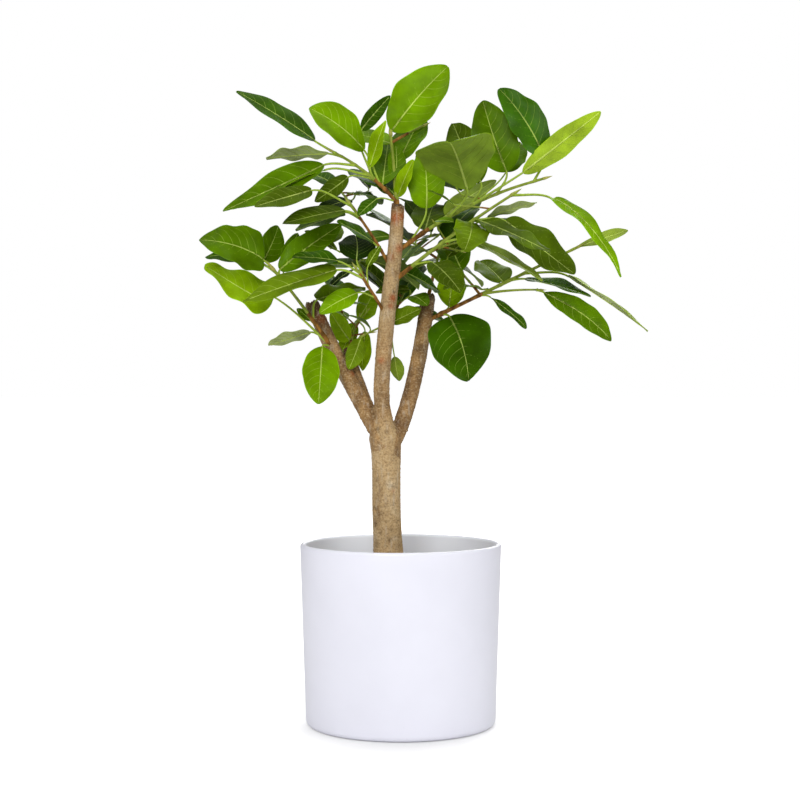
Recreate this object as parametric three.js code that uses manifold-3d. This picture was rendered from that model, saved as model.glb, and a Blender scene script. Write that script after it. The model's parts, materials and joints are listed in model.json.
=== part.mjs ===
// A potted banyan tree: a young broad-leaved fig, pruned to a leader and two boughs, in a white
// planter. Millimetres, +Z up, the front toward -Y. The origin is the middle of the pot's underside.
import * as THREE from 'three';
import Module from 'manifold-3d';

const wasm = await Module();
wasm.setup();

const UP = new THREE.Vector3(0, 0, 1);
const radians = THREE.MathUtils.degToRad;
const mix = THREE.MathUtils.lerp;
const smooth = THREE.MathUtils.smoothstep;

// Pot and soil
const POT = { rimRadius: 125, footRadius: 118, height: 225, wall: 7, floor: 9, corner: 8 };
const POT_SEGMENTS = 40;
const CURVE_STEPS = 3;
const SOIL_TOP = 190;
const SOIL_EDGE_DROP = 3;
const SOIL_SLACK = 2; // that the soil keeps off the pot's rounded inner corner
const GAP = 0.3;
const GROUND = SOIL_TOP + GAP;

// Trunk and leader: where the middle stands at each height
const TRUNK_TOP = 644;
const TRUNK_PATH = [
  [-15, 0, GROUND], [-15, 0, 200], [-17.7, 0, 266], [-18.5, 0, 346], [-23.9, -1, 409],
  [-17, -3, 505], [-7, -5, 590], [-3.4, -6, TRUNK_TOP],
];
const TRUNK = { lower: 17.2, leader: 9.5, tip: 7.7, flare: 8, flareHeight: 11, fork: 352, forkSwell: 2.2 };

// Boughs: each one limb that tapers from inside the trunk to its pruned tip
const BOUGHS = {
  bough_left: {
    path: [[-20, 0, 346], [-31, 3, 370], [-53, 9, 410], [-82, 16, 463], [-110, 23, 523]],
    foot: 9.6, tip: 7.2, cutBy: ['trunk'],
  },
  bough_right: {
    path: [[-14, 2, 340], [-4, 6, 360], [10, 17, 401], [20, 27, 442], [27, 33, 479], [35, 42, 533]],
    foot: 8.8, tip: 7.6, cutBy: ['trunk'],
  },
  stub_left: {
    path: [[-38, 10, 384], [-44, 15, 402], [-56, 22, 434], [-67, 27, 465]],
    foot: 5, tip: 4.6, cutBy: ['trunk', 'bough_left'],
  },
};
const LIMB_SIDES = 12;
const LIMB_RINGS = 10;
const TRUNK_STEPS = 220;
const TRUNK_RINGS = 22;
const FLARE_STATIONS = [0, 0.006, 0.014, 0.026, 0.045]; // of the trunk's length, at its root flare

// Leaves and twigs
const BLADE_THICKNESS = 0.021; // of its length, along the midrib
const BLADE_STATIONS = [0.07, 0.32, 0.62, 0.9];
const BLADE_FOLD = 12; // degrees that each half rises from the midrib
const BLADE_SHOULDER = 0.8; // under 1 puts the widest place nearer the stalk
const BLADE_FULLNESS = 0.62; // under 1 rounds the ends
const STALK_RADIUS = 1.3;
const TWIG_SIDES = 4;
const TWIG_STEPS = 5;
const TWIG_TIP = 0.6; // of the twig's radius at its foot
const BLADE_SWELL = 1.05; // the facets' corners stand a little outside the rounded outline
const GOLDEN_ANGLE = 137.5;
const POSED_CLEARANCE = 5;
const RULED_CLEARANCE = 6;
const LIMB_CLEARANCE = 2;
// Where a blade is tested for room: rows along it, places across it, and the rows next to its stalk
const BLADE_ROWS = 12;
const BLADE_COLUMNS = [-1, -0.5, 0, 0.5, 1];
const STALK_ROWS = 2;
const STALK_FREE = 0.3; // of a stalk, from its foot, that may touch the shoot
const SAMPLE_STEP = 8;
// The dense heart of the crown, which the ruled leaves fill, with the leader bare in front of it
const HEART = { centre: [10, 85, 610], reach: [150, 150, 185] };
const LEADER_VIEW = { x: -12, half: 32, front: 5 };

// A leaf posed as it shows: how far along its shoot it stands, its stalk's length, the way its blade
// points (heading from +X toward +Y, then rise), its length and width, how far its upper side turns
// from facing up toward the front, and how far it bends down over its length. Angles in degrees.
// A stalk leans half along its shoot and half along its blade, and stand pulls it up, or down under 0.
const leaf = (at, stalk, heading, rise, length, width, tilt, arch = 15, stand = 0) =>
  ({ at, stalk, heading, rise, length, width, tilt, arch, stand });

// The shoots of the crown. The first of each mass is its stem and leaves a limb. The others branch
// from a shoot above them. A shoot's radius is at its foot, and bend is its turn over its length.
const SHOOTS = [
  {
    name: 'top', mass: 'foliage_top', parent: 'trunk', at: 0.985, radius: 3,
    heading: 111, rise: 76, length: 101, bend: 0,
    leaves: [
      leaf(1, 4, -8, 48, 106, 63, 82, 12),
      leaf(0.85, 4, 150, 16, 62, 36, 30),
      leaf(0.3, 40, 60, 48, 84, 44, 10),
      leaf(0.1, 8, -35, 62, 50, 25, 80, 5),
      leaf(0.2, 20, 90, 74, 48, 24, 10, 5),
      leaf(0.15, 6, 122, 28, 74, 36, 10),
    ],
  },
  {
    name: 'top_left', mass: 'foliage_top', parent: 'top', at: 0.11, radius: 2.6,
    heading: -164, rise: 36, length: 103, bend: 24,
    leaves: [
      leaf(0.94, 30, -170, 31, 112, 45, 40, 4),
      leaf(0.29, 47, -157, 33, 86, 60, 62, 34, 2),
      leaf(0.86, 16, 156, -1, 88, 34, -20),
      leaf(0.67, 39, 182, -25, 136, 51, 45, 12, -0.12),
      leaf(0.47, 55, -168, -26, 95, 26, 4, 8),
      leaf(0.4, 15, -40, 66, 60, 28, 80),
      leaf(0.22, 6, 82, 50, 78, 42, 10),
      leaf(0.2, 6, 128, 22, 74, 36, 10),
      leaf(0.02, 26, -146, -39, 35, 19, 40, 12),
      leaf(0.4, 31, 167, -34, 52, 24, 86, 4),
    ],
  },
  {
    name: 'upper_left', mass: 'foliage_upper_left', parent: 'trunk', at: 0.82, radius: 2.4,
    heading: -158, rise: 55, length: 100, bend: 12,
    leaves: [
      leaf(0.97, 55, -147, -17, 82, 29, 50, 4),
      leaf(0.81, 18, -165, -13, 80, 41, 31, 16),
      leaf(0.76, 23, 140, -12, 85, 26, -20, 6),
      leaf(0.3, 14, -150, 25, 56, 30, 40),
    ],
  },
  {
    name: 'upper_right', mass: 'foliage_upper_right', parent: 'trunk', at: 0.868, radius: 2.8,
    heading: 7, rise: 27, length: 211, bend: 24,
    leaves: [
      leaf(0.39, 46, -103, 22, 116, 98, -12, 58),
      leaf(0.7, 32, 160, 71, 96, 58, 70),
      leaf(0.5, 77, 58, 46, 57, 31, 37, 13),
      leaf(0.53, 38, 123, 53, 101, 52, 52, 19),
      leaf(0.94, 35, -166, 54, 99, 55, 75, 6),
      leaf(0.53, 77, -17, 36, 121, 32, -89, 44),
      leaf(0.12, 46, 146, 86, 72, 47, 60, 7),
      leaf(0.2, 8, 80, 30, 80, 46, 5),
      leaf(0.2, 41, 42, 30, 102, 29, 35, 4),
    ],
  },
  {
    name: 'middle_right', mass: 'foliage_middle_right', parent: 'trunk', at: 0.787, radius: 2.8,
    heading: -13, rise: 35, length: 185, bend: 8,
    leaves: [
      leaf(1, 51, -35, -46, 136, 30, 16, 29),
      leaf(0.7, 38, -10, -38, 108, 54, 48),
      leaf(0.7, 3, -47, -21, 130, 34, 18, 8),
      leaf(0.66, 6, -100, -30, 78, 46, 20),
      leaf(0.45, 29, -22, -28, 111, 28, 18, 8),
      leaf(0.2, 28, -57, -33, 72, 40, 20),
      leaf(0.1, 6, 45, -20, 62, 34, 50),
    ],
  },
  {
    name: 'right', mass: 'foliage_right', parent: 'bough_right', at: 0.84, radius: 2.8,
    heading: -15, rise: 25, length: 215, bend: 0,
    leaves: [
      leaf(0.97, 3, -4, 19, 68, 24, 40, 6),
      leaf(0.5, 6, 110, 22, 80, 44, 10),
      leaf(0.56, 20, -21, -16, 87, 40, 14),
      leaf(0.66, 54, -12, -35, 120, 39, 0, 7),
      leaf(0.36, 14, -26, -39, 64, 15, 36, 4),
      leaf(0.11, 13, -68, -54, 100, 81, 29, 9),
      leaf(0.12, 12, 80, 37, 78, 38, 10),
    ],
  },
  {
    name: 'right_low', mass: 'foliage_right', parent: 'right', at: 0.38, radius: 2,
    heading: -32, rise: 2, length: 82, bend: 10,
    leaves: [
      leaf(0.94, 10, -18, -36, 103, 34, 52, 6),
    ],
  },
  {
    name: 'left', mass: 'foliage_left', parent: 'bough_left', at: 0.62, radius: 2.8,
    heading: -158, rise: 52, length: 139, bend: 8,
    leaves: [
      leaf(0.92, 8, 19, 36, 98, 36, 70, 22),
      leaf(1, 16, -162, 16, 84, 61, 64, 45, 0.4),
      leaf(0.96, 28, 142, 6, 90, 34, 36, 8),
      leaf(0.16, 90, -173, 24, 94, 57, 52, 19),
      leaf(0.21, 23, 142, -13, 72, 26, -24, 4),
      leaf(0.14, 15, -95, -63, 80, 47, 14, 14),
      leaf(0.42, 28, 40, 13, 80, 38, 30),
      leaf(0.8, 26, 58, 55, 53, 20, 44, 13),
      leaf(0.26, 23, 164, 40, 24, 12, 56, 13),
    ],
  },
  {
    name: 'front_left', mass: 'foliage_front_left', parent: 'trunk', at: 0.695, radius: 2.4,
    heading: -134, rise: 47, length: 80, bend: 5,
    leaves: [
      leaf(0.8, 35, -170, -19, 120, 47, 33, 10),
      leaf(0.4, 26, -161, -28, 54, 28, 60),
      leaf(0.9, 30, 178, 5, 56, 34, 30),
      leaf(0.66, 34, 93, 32, 64, 48, 0),
      leaf(0.62, 25, 38, 53, 32, 14, 30),
    ],
  },
  {
    name: 'low_left', mass: 'foliage_low_left', parent: 'stub_left', at: 0.985, radius: 2,
    heading: 74, rise: 44, length: 66, bend: 0,
    leaves: [
      leaf(0.85, 5, 70, 35, 65, 31, 55, 4),
      leaf(0.9, 10, -131, -57, 52, 22, 40),
      leaf(0.89, 26, -99, -67, 55, 23, 31, 4),
    ],
  },
  {
    name: 'low_back', mass: 'foliage_low_back', parent: 'trunk', at: 0.655, radius: 2.2,
    heading: 72, rise: 35, length: 100, bend: 0,
    leaves: [
      leaf(0.12, 8, 6, 26, 40, 29, 47, 6),
      leaf(0.21, 45, 48, -74, 32, 21, -14, 4, -3),
      leaf(0.6, 14, 150, 40, 80, 40, 10),
    ],
  },
  {
    name: 'low_centre', mass: 'foliage_low_back', parent: 'low_back', at: 0.2, radius: 1.7,
    heading: 175, rise: -25, length: 36, bend: 0,
    leaves: [
      leaf(1, 6, -135, -62, 44, 24, 50),
    ],
  },
  {
    name: 'back', mass: 'foliage_back', parent: 'bough_right', at: 0.985, radius: 2.6,
    heading: 76, rise: 42, length: 120, bend: 15,
    leaves: [
      leaf(0.5, 25, 35, 24, 76, 34, 8),
      leaf(0.68, 86, -28, 13, 72, 22, -22, 6),
    ],
  },
];

// Each mass's own space, and the twigs and leaves that the seeded rule adds to its stem
const MASSES = {
  foliage_top: {
    colour: 0x6a9a24, seed: 11, centre: [-60, 20, 720], reach: [290, 180, 170],
    sprays: 6, toward: 90, spread: 80, sprayLength: 75, buds: 8,
  },
  foliage_upper_left: {
    colour: 0x4f7d22, seed: 23, centre: [-90, 0, 630], reach: [210, 160, 120],
    sprays: 5, toward: 110, spread: 50, sprayLength: 80, buds: 8,
  },
  foliage_upper_right: {
    colour: 0x5c8a26, seed: 31, centre: [110, 30, 690], reach: [230, 210, 160],
    sprays: 6, toward: 80, spread: 60, sprayLength: 80, buds: 8,
  },
  foliage_middle_right: {
    colour: 0x47701f, seed: 43, centre: [130, -60, 590], reach: [250, 160, 160],
    sprays: 3, toward: 60, spread: 30, sprayLength: 60, buds: 8,
  },
  foliage_right: {
    colour: 0x3f7a24, seed: 57, centre: [160, 20, 530], reach: [240, 180, 170],
    sprays: 4, toward: 100, spread: 50, sprayLength: 70, buds: 8,
  },
  foliage_left: {
    colour: 0x6f9a35, seed: 61, centre: [-150, 0, 500], reach: [200, 170, 180],
    sprays: 3, toward: 60, spread: 40, sprayLength: 60, buds: 8,
  },
  foliage_front_left: {
    colour: 0x6d8f33, seed: 73, centre: [-80, -40, 550], reach: [190, 150, 120],
    sprays: 3, toward: 100, spread: 60, sprayLength: 60, buds: 8,
  },
  foliage_low_left: {
    colour: 0x7aa83a, seed: 83, centre: [-60, 80, 510], reach: [140, 120, 130],
    sprays: 5, toward: 80, spread: 100, sprayLength: 60, buds: 8,
  },
  foliage_low_back: {
    colour: 0x5f8a2c, seed: 97, centre: [0, 80, 520], reach: [140, 140, 140],
    sprays: 7, toward: 90, spread: 120, sprayLength: 60, buds: 8,
  },
  foliage_back: {
    colour: 0x3c6420, seed: 101, centre: [60, 110, 620], reach: [160, 140, 140],
    sprays: 7, toward: 90, spread: 80, sprayLength: 70, buds: 8,
  },
};

// Seeded numbers from 0 to 1, by a linear congruential rule
function randomSource(seed) {
  let state = seed;
  const next = () => {
    state = (Math.imul(state, 1664525) + 1013904223) >>> 0;
    return state / 4294967296;
  };
  next();
  return next;
}

function direction(heading, rise) {
  const turn = radians(heading);
  const lift = radians(rise);
  return new THREE.Vector3(Math.cos(turn) * Math.cos(lift), Math.sin(turn) * Math.cos(lift), Math.sin(lift));
}

// Points along a circular arc that leaves steeper than its chord by half its bend
function arcPath(start, heading, rise, length, bend, steps) {
  const half = radians(bend) / 2;
  const stretch = Math.abs(half) < 1e-6 ? 1 : half / Math.sin(half);
  const stride = (length * stretch) / steps;
  const points = [start.clone()];
  for (let step = 0; step < steps; step += 1) {
    const lift = rise + bend / 2 - (bend * (step + 0.5)) / steps;
    points.push(points[step].clone().addScaledVector(direction(heading, lift), stride));
  }
  return points;
}

// The stretch of a path that lies the fraction at of its length along it, and how far into it that is
function stretchAlong(points, at) {
  const lengths = points.slice(1).map((point, i) => point.distanceTo(points[i]));
  let left = at * lengths.reduce((sum, length) => sum + length);
  let first = 0;
  while (first < lengths.length - 1 && left > lengths[first]) {
    left -= lengths[first];
    first += 1;
  }
  return { first, into: left / lengths[first] };
}

function pointAlong(points, at) {
  const { first, into } = stretchAlong(points, at);
  return points[first].clone().lerp(points[first + 1], into);
}

function tangentAlong(points, at) {
  const { first } = stretchAlong(points, at);
  return points[first + 1].clone().sub(points[first]).normalize();
}

// A closed skin over rings of points, each ring counter-clockwise about the way they run.
// The first ring is closed flat, and the last too unless it is a single point.
function skin(rings) {
  const sides = rings[0].length;
  const index = [];
  for (let ring = 0; ring < rings.length - 1; ring += 1) {
    for (let side = 0; side < sides; side += 1) {
      const here = ring * sides + side;
      const beside = ring * sides + ((side + 1) % sides);
      if (rings[ring + 1].length === 1) {
        index.push(here, beside, (ring + 1) * sides);
      } else {
        index.push(here, beside, beside + sides, here, beside + sides, here + sides);
      }
    }
  }
  const last = (rings.length - 1) * sides;
  for (let side = 1; side < sides - 1; side += 1) {
    index.push(0, side + 1, side);
    if (rings[rings.length - 1].length > 1) {
      index.push(last, last + side, last + side + 1);
    }
  }
  return indexedGeometry(rings.flat().flatMap((point) => point.toArray()), index);
}

// A closed round tube through the points
function loft(points, radii, sides) {
  const across = new THREE.Vector3(0, 1, 0);
  const rings = points.map((point, i) => {
    const before = points[Math.max(i - 1, 0)];
    const after = points[Math.min(i + 1, points.length - 1)];
    const tangent = after.clone().sub(before).normalize();
    across.addScaledVector(tangent, -across.dot(tangent)).normalize();
    const other = new THREE.Vector3().crossVectors(tangent, across);
    return Array.from({ length: sides }, (_, side) => {
      const angle = (2 * Math.PI * side) / sides;
      return point.clone()
        .addScaledVector(across, radii[i] * Math.cos(angle))
        .addScaledVector(other, radii[i] * Math.sin(angle));
    });
  });
  return skin(rings);
}

function indexedGeometry(positions, index) {
  const geometry = new THREE.BufferGeometry();
  geometry.setAttribute('position', new THREE.Float32BufferAttribute(positions, 3));
  geometry.setIndex(index);
  return geometry;
}

function solidOf(geometry) {
  return new wasm.Manifold(new wasm.Mesh({
    numProp: 3,
    vertProperties: new Float32Array(geometry.attributes.position.array),
    triVerts: new Uint32Array(geometry.index.array),
  }));
}

function geometryOf(solid) {
  const mesh = solid.getMesh();
  return indexedGeometry(Array.from(mesh.vertProperties), Array.from(mesh.triVerts));
}

// Limbs

function trunkRadius(z) {
  const shaft = mix(TRUNK.lower, TRUNK.leader, smooth(z, TRUNK.fork, TRUNK.fork + 36));
  const flare = TRUNK.flare * Math.exp((GROUND - z) / TRUNK.flareHeight);
  const swell = TRUNK.forkSwell * Math.exp(-(((z - TRUNK.fork) / 16) ** 2));
  const taper = (TRUNK.leader - TRUNK.tip) * smooth(z, 540, TRUNK_TOP);
  return shaft + flare + swell - taper;
}

function limbPath(path, rings) {
  const stations = path.map((point) => new THREE.Vector3(...point));
  return new THREE.CatmullRomCurve3(stations, false, 'centripetal').getSpacedPoints(rings);
}

function trunkLimb() {
  const path = limbPath(TRUNK_PATH, TRUNK_STEPS);
  const shaft = Array.from({ length: TRUNK_RINGS - 1 }, (_, ring) => (ring + 2) / TRUNK_RINGS);
  const points = [...FLARE_STATIONS, ...shaft].map((at) => pointAlong(path, at));
  return { points, radii: points.map((point) => trunkRadius(point.z)) };
}

function boughLimb({ path, foot, tip }) {
  const points = limbPath(path, LIMB_RINGS);
  return { points, radii: points.map((point, ring) => mix(foot, tip, ring / LIMB_RINGS)) };
}

// The limb with its skin moved out by the gap, ends too, for cutting what meets it
function grownLimb({ points, radii }) {
  const grown = points.map((point) => point.clone());
  grown[0].addScaledVector(tangentAlong(points, 0), -GAP);
  grown[grown.length - 1].addScaledVector(tangentAlong(points, 1), GAP);
  return solidOf(loft(grown, radii.map((radius) => radius + GAP), LIMB_SIDES));
}

// Leaves

// The blade's frame: along from stalk to tip, across it, and out of its upper side
function bladeFrame(heading, rise, tilt) {
  const along = direction(heading, rise);
  const level = new THREE.Vector3().crossVectors(UP, along);
  if (level.length() < 0.05) {
    level.set(1, 0, 0);
  }
  level.normalize();
  const face = new THREE.Vector3().crossVectors(along, level);
  const frontward = level.y <= 0 ? 1 : -1;
  const turn = radians(tilt);
  face.multiplyScalar(Math.cos(turn)).addScaledVector(level, frontward * Math.sin(turn)).normalize();
  return { along, face, across: new THREE.Vector3().crossVectors(face, along) };
}

function halfWidth(width, u) {
  return (width / 2) * Math.sin(Math.PI * Math.min(u, 1) ** BLADE_SHOULDER) ** BLADE_FULLNESS;
}

// The midrib's place and the blade's own upward direction at u from 0 at the stalk to 1 at the tip
function midrib(blade, u) {
  const bend = radians(Math.max(blade.arch, 0.5));
  const scale = (blade.length * 0.5) / Math.sin(bend / 2);
  const here = bend * (0.5 - u);
  const forward = scale * (Math.sin(bend / 2) - Math.sin(here));
  const lift = scale * (Math.cos(here) - Math.cos(bend / 2));
  const point = blade.base.clone()
    .addScaledVector(blade.frame.along, forward)
    .addScaledVector(blade.frame.face, lift);
  const normal = blade.frame.face.clone().multiplyScalar(Math.cos(here))
    .addScaledVector(blade.frame.along, -Math.sin(here));
  return { point, normal };
}

function bladePoint(blade, u, v) {
  const { point, normal } = midrib(blade, u);
  const half = halfWidth(blade.width, u);
  const fold = radians(BLADE_FOLD);
  return point
    .addScaledVector(blade.frame.across, v * half * Math.cos(fold))
    .addScaledVector(normal, Math.abs(v) * half * Math.sin(fold));
}

// A leaf as one closed skin: its stalk from inside the shoot, then its blade, which is a thin lens,
// thick along the midrib and keen at its edge
function leafGeometry(blade) {
  const { foot, base, frame } = blade;
  const stalkWay = base.clone().sub(foot).normalize();
  const side = frame.across.clone().addScaledVector(stalkWay, -frame.across.dot(stalkWay)).normalize();
  const over = new THREE.Vector3().crossVectors(stalkWay, side);
  const diamond = (point, wide, deep, left, above) => [[1, 0], [0, 1], [-1, 0], [0, -1]].map(
    ([w, d]) => point.clone().addScaledVector(left, w * wide).addScaledVector(above, d * deep),
  );
  const depth = (blade.length * BLADE_THICKNESS) / 2;
  const rows = BLADE_STATIONS.map((u) => {
    const { point, normal } = midrib(blade, u);
    const above = point.clone().addScaledVector(normal, depth);
    const below = point.clone().addScaledVector(normal, -depth);
    return [bladePoint(blade, u, BLADE_SWELL), above, bladePoint(blade, u, -BLADE_SWELL), below];
  });
  return skin([
    diamond(foot, STALK_RADIUS, STALK_RADIUS, side, over),
    diamond(base, STALK_RADIUS, STALK_RADIUS, side, over),
    ...rows,
    [bladePoint(blade, 1, 0)],
  ]);
}

// The crown

function growShoot(plan, parent) {
  const start = pointAlong(parent.points, plan.at);
  const points = arcPath(start, plan.heading, plan.rise, plan.length, plan.bend, TWIG_STEPS);
  const radii = points.map((point, ring) => plan.radius * mix(1, TWIG_TIP, ring / TWIG_STEPS));
  return { points, radii };
}

function growLeaf(plan, shoot) {
  const foot = pointAlong(shoot.points, plan.at);
  const frame = bladeFrame(plan.heading, plan.rise, plan.tilt);
  const lean = tangentAlong(shoot.points, plan.at).add(frame.along);
  lean.addScaledVector(UP, plan.stand).normalize();
  const base = foot.clone().addScaledVector(lean, plan.stalk);
  return { ...plan, foot, base, frame };
}

// The leaves that the rule sets round a shoot, each a golden angle on from the one below it
function ruledLeaves(count, phase, random) {
  const plans = [];
  for (let bud = 0; bud < count; bud += 1) {
    const [turn, lift, size, girth, roll, droop] = Array.from({ length: 6 }, random);
    const length = mix(52, 98, size);
    plans.push({
      at: mix(0.3, 1, (bud + 1) / count),
      stalk: mix(8, 26, girth),
      heading: phase + GOLDEN_ANGLE * bud + mix(-25, 25, turn),
      rise: mix(-25, 45, lift),
      length,
      width: length * mix(0.44, 0.6, girth),
      tilt: mix(-20, 35, roll),
      arch: mix(10, 40, droop),
      stand: 0,
    });
  }
  return plans;
}

function bladeSamples(blade) {
  const samples = [];
  for (let row = 0; row <= BLADE_ROWS; row += 1) {
    BLADE_COLUMNS.forEach((column) => samples.push(bladePoint(blade, row / BLADE_ROWS, column)));
  }
  return samples;
}

function segmentSamples(from, to) {
  const count = Math.max(2, Math.ceil(from.distanceTo(to) / SAMPLE_STEP));
  return Array.from({ length: count + 1 }, (_, i) => from.clone().lerp(to, i / count));
}

function insideSpace(samples, { centre, reach }) {
  return samples.every((point) => {
    const x = (point.x - centre[0]) / reach[0];
    const y = (point.y - centre[1]) / reach[1];
    const z = (point.z - centre[2]) / reach[2];
    return x * x + y * y + z * z <= 1;
  });
}

function nearest(samples, others) {
  let least = Infinity;
  samples.forEach((point) => others.forEach((other) => {
    least = Math.min(least, point.distanceToSquared(other));
  }));
  return Math.sqrt(least);
}

function growCrown(limbs) {
  const masses = {};
  const taken = [];
  const limbSkin = Object.values(limbs).flatMap(({ points, radii }) => points.slice(1).flatMap(
    (point, i) => segmentSamples(points[i], point).map((sample) => ({ sample, radius: radii[i] })),
  ));
  const reserve = (mass, kind, samples) => {
    const ball = new THREE.Sphere().setFromPoints(samples);
    taken.push({ mass, kind, samples, ball });
  };
  // kin are the mass's own pieces that the samples may come near
  const fits = (mass, samples, clearance, kin) => {
    const ball = new THREE.Sphere().setFromPoints(samples);
    ball.radius += clearance;
    return taken.every((other) => (other.mass === mass && kin.includes(other.kind))
      || !ball.intersectsSphere(other.ball)
      || nearest(samples, other.samples) > clearance);
  };
  const insideHeart = (samples) => insideSpace(samples, HEART) && samples.every((point) =>
    point.y > LEADER_VIEW.front || Math.abs(point.x - LEADER_VIEW.x) > LEADER_VIEW.half);
  const offLimbs = (samples) => limbSkin.every(({ sample, radius }) =>
    samples.every((point) => point.distanceTo(sample) > radius + LIMB_CLEARANCE));

  // the named shoots come first, so that every leaf keeps off them
  const shoots = {};
  SHOOTS.forEach((plan) => {
    const parent = limbs[plan.parent] ?? shoots[plan.parent];
    const shoot = growShoot(plan, parent);
    shoots[plan.name] = shoot;
    masses[plan.mass] ??= { limb: plan.parent, twigs: [], leaves: [], stem: shoot };
    masses[plan.mass].twigs.push(shoot);
    shoot.points.slice(2).forEach((point, i) =>
      reserve(plan.mass, 'twig', segmentSamples(shoot.points[i + 1], point)));
  });
  // a posed leaf keeps clear of the other masses, and a ruled one of its own mass's leaves too
  const addLeaf = (mass, plan, shoot, ruled) => {
    const blade = growLeaf(plan, shoot);
    const samples = bladeSamples(blade);
    const stalk = segmentSamples(blade.foot.clone().lerp(blade.base, STALK_FREE), blade.base);
    const free = samples.slice(STALK_ROWS * BLADE_COLUMNS.length);
    if (!insideSpace(samples, MASSES[mass]) || !offLimbs(free) || (ruled && !insideHeart(samples))) {
      return false;
    }
    const clear = ruled
      ? fits(mass, samples, RULED_CLEARANCE, ['twig'])
      : fits(mass, samples, POSED_CLEARANCE, ['twig', 'leaf']);
    if (!clear || !fits(mass, stalk, POSED_CLEARANCE / 2, ['twig', 'leaf'])) {
      return false;
    }
    reserve(mass, 'leaf', samples);
    reserve(mass, 'twig', stalk);
    masses[mass].leaves.push(blade);
    return true;
  };
  SHOOTS.forEach((plan) => plan.leaves.forEach(
    (pose) => addLeaf(plan.mass, pose, shoots[plan.name], false),
  ));

  // then each mass's own twigs branch from its stem, and carry leaves where there is room
  Object.entries(MASSES).forEach(([mass, habit]) => {
    const random = randomSource(habit.seed);
    for (let spray = 0; spray < habit.sprays; spray += 1) {
      const [place, swing, lift, size, spin] = Array.from({ length: 5 }, random);
      const plan = {
        at: mix(0.3, 0.9, (spray + place) / habit.sprays),
        heading: habit.toward + habit.spread * (2 * swing - 1),
        rise: mix(5, 50, lift),
        length: habit.sprayLength * mix(0.8, 1.2, size),
        bend: 10,
        radius: 1.9,
      };
      const leaves = ruledLeaves(habit.buds, 360 * spin, random);
      const twig = growShoot(plan, masses[mass].stem);
      const samples = segmentSamples(twig.points[1], twig.points[TWIG_STEPS]);
      if (insideHeart(samples) && offLimbs(samples) && fits(mass, samples, POSED_CLEARANCE, ['twig'])) {
        const kept = leaves.filter((pose) => addLeaf(mass, pose, twig, true));
        if (kept.length > 0) {
          masses[mass].twigs.push(twig);
          reserve(mass, 'twig', samples);
        }
      }
    }
  });
  return masses;
}

function massGeometry(mass, limbs) {
  const twigs = mass.twigs.map(({ points, radii }) => solidOf(loft(points, radii, TWIG_SIDES)));
  let solid = twigs.reduce((joined, twig) => joined.add(twig));
  mass.leaves.forEach((blade) => {
    solid = solid.add(solidOf(leafGeometry(blade)));
  });
  return geometryOf(solid.subtract(grownLimb(limbs[mass.limb])));
}

// Planter

function potGeometry() {
  const { rimRadius, footRadius, height, wall, floor, corner } = POT;
  const profile = new THREE.Path();
  const lip = wall / 2;
  const innerFoot = footRadius - wall;
  profile.moveTo(0, 0);
  profile.lineTo(footRadius - corner, 0);
  profile.quadraticCurveTo(footRadius, 0, mix(footRadius, rimRadius, corner / height), corner);
  profile.lineTo(rimRadius, height - lip);
  profile.absarc(rimRadius - lip, height - lip, lip, 0, Math.PI, false);
  profile.lineTo(innerFoot, floor + corner);
  profile.quadraticCurveTo(innerFoot, floor, innerFoot - corner, floor);
  profile.lineTo(0, floor);
  return new THREE.LatheGeometry(profile.getPoints(CURVE_STEPS), POT_SEGMENTS).rotateX(Math.PI / 2);
}

function soilGeometry() {
  const { rimRadius, footRadius, height, wall, floor, corner } = POT;
  const reach = (z) => mix(footRadius, rimRadius, z / height) - wall - SOIL_SLACK;
  const bottom = floor + GAP;
  const shoulder = floor + corner + SOIL_SLACK;
  const edge = SOIL_TOP - SOIL_EDGE_DROP;
  const profile = [
    [0, bottom], [reach(bottom) - corner, bottom], [reach(shoulder), shoulder],
    [reach(edge), edge], [reach(edge) * 0.6, SOIL_TOP], [0, SOIL_TOP],
  ].map(([radius, z]) => new THREE.Vector2(radius, z));
  return new THREE.LatheGeometry(profile, POT_SEGMENTS).rotateX(Math.PI / 2);
}

// Assembly

function named(name, geometry, colour, roughness) {
  const material = new THREE.MeshStandardMaterial({ color: colour, roughness, metalness: 0 });
  const mesh = new THREE.Mesh(geometry, material);
  mesh.name = name;
  return mesh;
}

function planter() {
  const group = new THREE.Group();
  group.add(named('pot', potGeometry(), 0xe9eaef, 0.45));
  group.add(named('soil', soilGeometry(), 0x3a2a1e, 0.95));
  return group;
}

function plant() {
  const group = new THREE.Group();
  const limbs = { trunk: trunkLimb() };
  group.add(named('trunk', loft(limbs.trunk.points, limbs.trunk.radii, LIMB_SIDES), 0xa88660, 0.85));
  Object.entries(BOUGHS).forEach(([name, bough]) => {
    const limb = boughLimb(bough);
    const solid = bough.cutBy.reduce(
      (rest, other) => rest.subtract(grownLimb(limbs[other])),
      solidOf(loft(limb.points, limb.radii, LIMB_SIDES)),
    );
    limbs[name] = limb;
    group.add(named(name, geometryOf(solid), 0x8f6d4b, 0.85));
  });
  Object.entries(growCrown(limbs)).forEach(([name, mass]) => {
    group.add(named(name, massGeometry(mass, limbs), MASSES[name].colour, 0.4));
  });
  return group;
}

const tree = new THREE.Group();
tree.add(planter(), plant());

export default tree;
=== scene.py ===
"""Looks for the potted banyan tree: bark with relief, twigs and stalks, veined leaves, a glazed planter
and crumbly soil, grown by the same seeded rule as the solids. The rule works in millimetres."""
import json
import math

import bmesh
import bpy
import numpy as np
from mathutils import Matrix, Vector, kdtree, noise

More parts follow.
